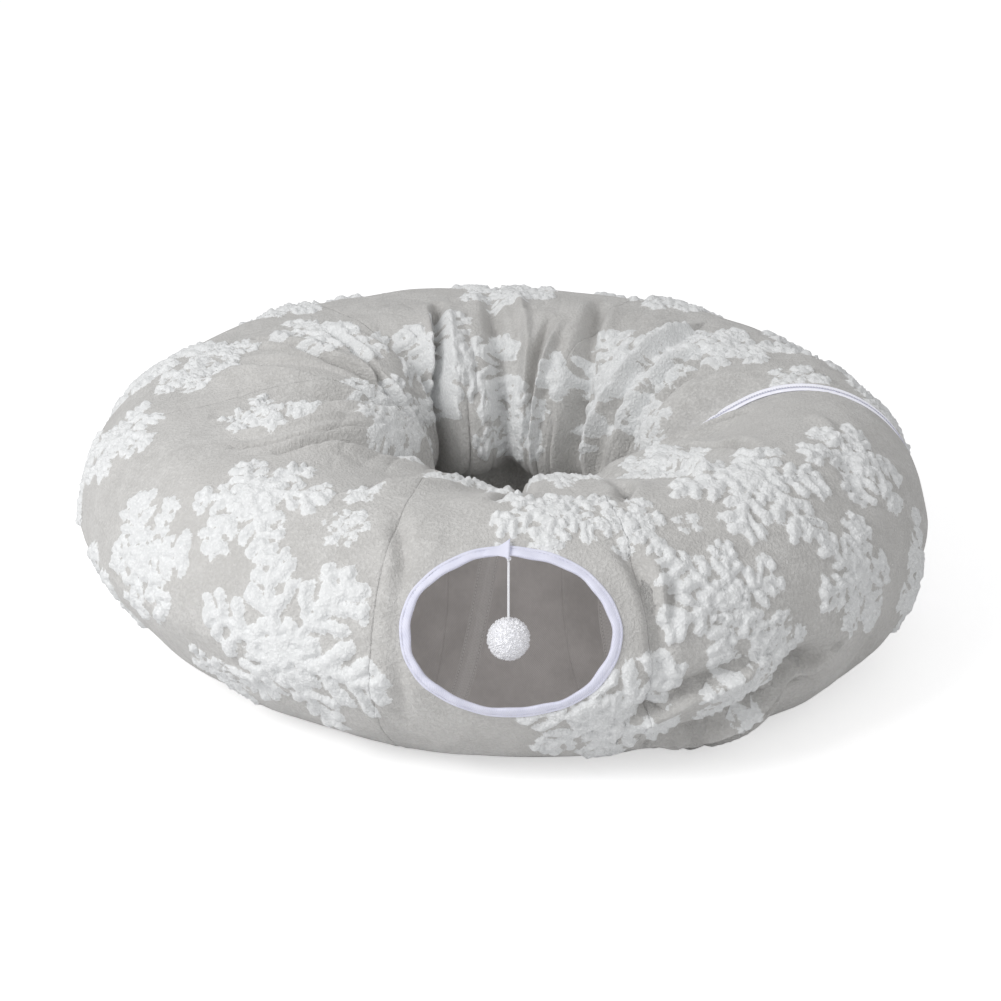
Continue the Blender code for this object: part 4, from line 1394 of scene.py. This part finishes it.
def makeKnot():
    curve = bpy.data.curves.new("knot", "CURVE")
    curve.dimensions = "3D"
    curve.bevel_depth = toy["knotYarn"]
    curve.bevel_resolution = 3
    line = curve.splines.new("POLY")
    line.use_cyclic_u = True
    line.points.add(toy["knotPoints"] - 1)
    for i, spot in enumerate(line.points):
        t = math.tau * i / toy["knotPoints"]
        way = Vector((0.95 * (math.sin(t) + 2 * math.sin(2 * t)), -1.3 * math.sin(3 * t),
                      0.8 * (math.cos(t) - 2 * math.cos(2 * t))))
        spot.co = (*(Vector(toy["pivot"]) + way * toy["knotSize"]), 1)
    temp = addObject("knot", curve)
    data = bpy.data.meshes.new_from_object(temp)
    bpy.data.objects.remove(temp)
    addPiece("toyKnot", data, yarnLook, "white_yarn", "toy_knot", "toy_knot")


def makePompom():
    draw = random.Random(toy["seed"])
    radius, count = toy["pompomRadius"], toy["strands"]
    low = toy["cordTop"] - toy["cordLength"] - toy["pompomGap"]
    centre = Vector((*toy["pivot"][:2], low - radius))
    bm = bmesh.new()
    bmesh.ops.create_icosphere(bm, subdivisions=4, radius=radius * toy["core"],
                               matrix=Matrix.Translation(centre))
    for vert in bm.verts:
        spot = vert.co - centre
        vert.co = centre + spot * (1 + 0.05 * float(swell(np.array([spot]), 0.006, 5)[0]))
    for i in range(count):
        z = 1 - 2 * (i + 0.5) / count
        angle = i * toy["strandTurn"] + draw.uniform(-0.1, 0.1)
        flat = math.sqrt(1 - z * z)
        way = Vector((flat * math.cos(angle), flat * math.sin(angle), z))
        way = (way + Vector([draw.uniform(-0.12, 0.12) for _ in range(3)])).normalized()
        bend = Vector([draw.uniform(-1, 1) for _ in range(3)]).cross(way).normalized()
        reach = radius * draw.uniform(0.93, 1.01)
        across = way.orthogonal().normalized() * toy["strandRadius"]
        up = way.cross(across)
        rings = []
        for share, wide in toy["strandPath"]:
            middle = centre + way * reach * share + bend * toy["strandBend"] * share ** 3
            rings.append(circle(middle, across * wide, up * wide, 5))
        addTube(bm, rings)
    return addPiece("pompomYarn", dataFrom("pompomYarn", bm), yarnLook, "white_yarn", "toy", "pompom")


# Painted light: the white yarn gives off some of its colour, standing in for light scattered through it
yarnLook = makeThreadLook("whiteYarn", (0.93, 0.93, 0.95), (0.81, 0.815, 0.845), 0.15)
toyCord, toyPath = makeCord()
makeKnot()
pompomYarn = makePompom()
print("toy made")

# The zip that closes the ring: two tapes, a coil of interlocked loops and its metal parts
joinAlong = np.array([-math.sin(math.radians(joinAngle)), math.cos(math.radians(joinAngle)), 0])
coilHalf = zipper["coilWidth"] / 2


def joinPoints(section, rise, side):
    around = np.full(np.shape(section), joinAngle)
    points = onRing(around, section, frameRadius(around, section) + rise)
    return moulded(points) + joinAlong * np.asarray(side)[..., None]


def makeTapes():
    outer, edge = zipper["width"] / 2, zipper["tapeHalf"]
    path = [(coilHalf * 0.55, -0.0013), (coilHalf * 0.6, -0.0004), (coilHalf * 1.05, 0.0001),
            (outer * 0.80, 0.0001), (edge * 0.7, 0.0006), (edge * 0.96, 0.0007), (edge, 0.0002),
            (edge * 0.96, -0.0003), (outer * 0.9, -0.0003), (outer * 0.8, -0.0013)]
    sections = np.linspace(zipper["low"], zipper["high"], 150)
    for name, node, sign in (("zipTapeFront", "zip_tape_front", -1), ("zipTapeBack", "zip_tape_back", 1)):
        loops = np.stack([joinPoints(sections, rise, sign * side) for side, rise in path], 1)
        index = gridOf(loops.shape)
        ends = [index[0][::-1], index[-1]]
        data = meshFrom(node, loops.reshape(-1, 3), quadsOf(index), ends, outward=True)
        addPiece(name, data, zipTapeLook, "binding_tape", "tunnel", node)


# Interlocked loops, each a small bent rod, over the two cords that they are sewn to
def makeCoil():
    low, high = zipper["low"] + zipper["coilEnd"], zipper["high"] - zipper["coilEnd"]
    count = int(math.radians(high - low) * tubeRadius / zipper["coilPitch"])
    lean = math.degrees(zipper["coilPitch"] / 4 / tubeRadius) * np.linspace(-1, 1, 5)
    sides, rises = coilHalf * np.array(zipper["coilSides"]), np.array(zipper["coilRises"])
    bm = bmesh.new()
    for i in range(count):
        section = low + (high - low) * (i + 0.5) / count
        line = joinPoints(section + lean, rises, sides * (-1 if i % 2 else 1))
        line = [Vector(point) for point in line]
        below, above = joinPoints(section + np.array([-1, 1]), 0.0, 0.0)
        up = Vector(above - below).normalized()
        rings = []
        for before, here, after in zip(line[:1] + line, line, line[1:] + line[-1:]):
            out = (after - before).normalized().cross(up).normalized()
            rings.append(circle(here, up * 0.00052, out * 0.00040, 5))
        addTube(bm, rings)
    for side in (-coilHalf / 2, coilHalf / 2):
        rings = []
        for point in joinPoints(np.linspace(low, high, 80), 0.0, side):
            out = Vector((point[0], point[1], point[2] - tubeHeight)).normalized()
            rings.append(circle(Vector(point), Vector(joinAlong) * 0.0008, out * 0.0005, 6))
        addTube(bm, rings)
    bmesh.ops.recalc_face_normals(bm, faces=bm.faces)
    addPiece("zipCoilLoops", dataFrom("zipCoilLoops", bm), coilLook, "zip_coil", "tunnel", "zip_coil")


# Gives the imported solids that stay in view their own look
def dress(look, *names):
    for name in names:
        data = nodes[name].data
        if not data.materials:
            data.materials.append(look)
        for slot in nodes[name].material_slots:
            slot.material = look


# Painted light: the zip tapes give off a fifth of their colour so that they look brighter
zipTapeLook = makeTapeLook("zipTape", zipper["light"], zipper["dark"], 0.20)
coilLook = makePlastic("zipNylon", (0.80, 0.805, 0.90), 0.42, 0.06)
makeTapes()
makeCoil()
dress(makeMetal("springSteel", (0.56, 0.57, 0.59), 0.32, 1.0), "spring_wire")
dress(makePlastic("endCapPlastic", (0.035, 0.035, 0.038), 0.45, 0.2), "wire_cap_start", "wire_cap_end")
dress(coilLook, "zip_stop_low", "zip_stop_high")
dress(makeMetal("coatedMetal", (0.78, 0.785, 0.83), 0.34, 0.35), "zip_slider", "zip_pull")
print("zip made")

# The round mat in the middle: a puffed plush top sewn to a plain base
mat = {
    "radius": 0.1811,
    "crown": 0.065,
    "baseThickness": 0.0015,
    "roundness": 2.2,
    "fullness": 0.6,
    "shrink": 0.007,
    "rings": 14,
    "segments": 96,
    "edge": 0.004,
    "voxel": 0.0055,
    "pressure": 4.0,
    "heldBelow": 0.005,
    "heldFrom": 0.86,
    "cap": 0.006,
    "frames": 20,
    "upper": 0.012,
    "wrinkle": 0.0030,
    "dent": 0.0035,
    "warp": 0.006,
    "warpSize": 0.017,
    "relief": 0.75,
    "drop": 0.0015,
}
# Its snowflakes: place, radius and turn
matFlakes = [(0.045, 0.070, 0.060, 10), (-0.060, 0.095, 0.050, 40), (-0.085, -0.010, 0.055, 25),
             (0.010, -0.060, 0.062, 55), (0.105, 0.010, 0.045, 5), (-0.015, 0.150, 0.034, 30),
             (0.100, -0.100, 0.045, 15), (-0.100, -0.110, 0.040, 48), (0.120, 0.100, 0.036, 20)]


def matDome(radius, crown, base):
    profile = []
    for i in range(mat["rings"] + 1):
        share = math.sin(math.pi / 2 * i / mat["rings"])
        height = (1 - share ** mat["roundness"]) ** mat["fullness"] if share < 1 else 0.0
        profile.append((radius * share, max(crown * height, base)))
    profile += [(radius * 0.985, base * 0.5), (0, base * 0.5)]
    return spun(profile, mat["segments"], 0.0002)


# Blows the cushion up as cloth, held at its seam and its base
def puff(obj):
    remesh = obj.modifiers.new("remesh", "REMESH")
    remesh.mode = "VOXEL"
    remesh.voxel_size = mat["voxel"]
    data = evaluated(obj)
    obj.modifiers.clear()
    obj.data = data
    start = pointsOf(data)
    held = obj.vertex_groups.new(name="held")
    for i, (x, y, z) in enumerate(start):
        hold = (math.hypot(x, y) / mat["radius"] - mat["heldFrom"]) / (1 - mat["heldFrom"])
        hold = 1.0 if z < mat["heldBelow"] else min(hold, 1.0)
        if hold > 0:
            held.add([i], hold, "REPLACE")
    cloth = obj.modifiers.new("puff", "CLOTH").settings
    cloth.use_pressure = True
    cloth.uniform_pressure_force = mat["pressure"]
    cloth.effector_weights.gravity = 0
    cloth.vertex_group_mass = "held"
    cloth.tension_stiffness = 12
    cloth.bending_stiffness = 1.2
    for number in range(1, mat["frames"] + 1):
        scene.frame_set(number)
    step = pointsOf(evaluated(obj)) - start
    obj.modifiers.clear()
    scene.frame_set(1)
    long = np.maximum(np.linalg.norm(step, axis=1), 1e-9)
    setPoints(data, start + step * np.minimum(1, mat["cap"] / long)[:, None])


def makeCushion():
    shrink, seat = mat["shrink"], mat["baseThickness"] + fabricGap
    bm = matDome(mat["radius"] - shrink, mat["crown"] - shrink * 0.6, seat + mat["edge"])
    temp = addObject("matStart", dataFrom("matStart", bm))
    puff(temp)
    division = temp.modifiers.new("finer", "SUBSURF")
    division.levels = division.render_levels = 1
    data = evaluated(temp)
    bpy.data.objects.remove(temp)
    points = pointsOf(data)

    # Soft dimples and the wrinkles that run in from the seam
    around = np.degrees(np.arctan2(points[:, 1], points[:, 0]))
    edge = np.clip((reachOf(points) / mat["radius"] - 0.55) / 0.4, 0, 1)
    ripple = edge * np.abs(sinOf(around * 11 + 40 * swell(points, 0.08, 4))) ** 3
    soft = mat["dent"] * swell(points, 0.07, 15) - mat["wrinkle"] * ripple
    soft = soft * np.clip(points[:, 2] / mat["crown"], 0, 1)

    depth = np.full(len(points), pile["bare"])
    for number, (x, y, size, turn) in enumerate(matFlakes):
        dx = points[:, 0] - x + mat["warp"] * swell(points, mat["warpSize"], 200 + number)
        dy = points[:, 1] - y + mat["warp"] * swell(points, mat["warpSize"], 240 + number)
        wedge = (np.degrees(np.arctan2(dy, dx)) - turn + 30) % 60 - 30
        away = flakeDistance(np.hypot(dx, dy) / size, wedge, np.ones(len(arm["branches"])))
        depth = np.maximum(depth, -away * size)
    depth = depth + pile["ruffle"] * (lumps(points, pile["ruffleSize"], 60) - pile["ruffleMiddle"])
    upper = points[:, 2] > mat["upper"]
    depth = np.where(upper, depth, pile["bare"])
    relief, hollowShade = tuftRelief(points, depth)
    points[:, 2] += np.where(upper, soft + mat["relief"] * relief - mat["drop"], 0)
    setPoints(data, points)
    setValues(data, "tuft", depth * 1000)
    setValues(data, "hollowShade", hollowShade)
    cushion = addPiece("matCushion", data, plush, "plush", "tunnel", "mat_top", "mat_filling")


# Base cloth, with a rounded sewn edge
def makeBase():
    radius, thick = mat["radius"], mat["baseThickness"]
    profile = [(0, 0), (radius * 0.5, 0), (radius - 0.001, 0), (radius, thick * 0.35), (radius, thick * 0.7),
               (radius - 0.0008, thick), (radius * 0.5, thick * 0.95), (0, thick * 0.95)]
    look = makeClothLook("baseCloth", (0.17, 0.165, 0.16), (0.11, 0.107, 0.104), 520.0, 0.85, 0.05,
                         "Object", 0.0)
    data = dataFrom("matBaseCloth", spun(profile, 120, 0.00005))
    base = addPiece("matBaseCloth", data, look, "base_cloth", "tunnel", "mat_base")


makeCushion()
makeBase()
print("mat made")

# Floor and light
studio = {
    "floorSize": 6.0,
    "floorColour": (0.86, 0.86, 0.865),
    "floorShade": (0.85, 0.85, 0.855),
    "floorGlow": 0.56,
    "world": 0.52,
    "target": (0, 0, 0.1),
    "keyPlace": (-1.75, -1.35, 1.9),
    "keySize": 1.4,
    "keyPower": 37.0,
    "fillPlace": (1.8, -1.6, 1.6),
    "fillSize": 1.8,
    "fillPower": 2.5,
}


# 1 for rays that the camera sees directly, in a mirror or through a surface
def seenRays(tree):
    rays = addNode(tree, "ShaderNodeLightPath").outputs
    passed = mathNode(tree, "MAXIMUM", rays["Is Glossy Ray"], rays["Is Transmission Ray"])
    return mathNode(tree, "MAXIMUM", rays["Is Camera Ray"], passed)


def makeFloor():
    bm = bmesh.new()
    bmesh.ops.create_grid(bm, x_segments=2, y_segments=2, size=studio["floorSize"])
    floor = addObject("floor", dataFrom("floor", bm))
    values = {"Roughness": 0.9, "Specular IOR Level": 0.1}
    look, tree, inputs = newMaterial("paleFloor", studio["floorColour"], values)
    tone = rampNode(tree, noiseNode(tree, coordsOf(tree), 3.0), 0.3, 0.7)
    feed(tree, inputs["Base Color"], mixColour(tree, tone, studio["floorShade"], studio["floorColour"]))
    strength = mathNode(tree, "MULTIPLY", seenRays(tree), studio["floorGlow"])
    glow = addNode(tree, "ShaderNodeEmission", {"Strength": strength}).outputs[0]
    shader = tree.nodes["Principled BSDF"].outputs[0]
    both = addNode(tree, "ShaderNodeAddShader", {0: shader, 1: glow}).outputs[0]
    feed(tree, tree.nodes["Material Output"].inputs["Surface"], both)
    floor.data.materials.append(look)


def makeWorld():
    world = bpy.data.worlds.new("studio")
    scene.world = world
    world.use_nodes = True
    tree, share = world.node_tree, studio["world"]
    inputs = tree.nodes["Background"].inputs
    feed(tree, inputs["Color"], (1, 1, 1))
    feed(tree, inputs["Strength"], mathNode(tree, "MULTIPLY_ADD", seenRays(tree), 1 - share, share))


def areaLamp(name, place, size, power):
    data = bpy.data.lights.new(name, "AREA")
    data.shape = "SQUARE"
    data.size = size
    data.energy = power
    aim(addObject(name, data), place, studio["target"])


makeFloor()
makeWorld()
areaLamp("keyLamp", studio["keyPlace"], studio["keySize"], studio["keyPower"])
areaLamp("fillLamp", studio["fillPlace"], studio["fillSize"], studio["fillPower"])
scene.view_settings.view_transform = "Standard"
print("studio made")
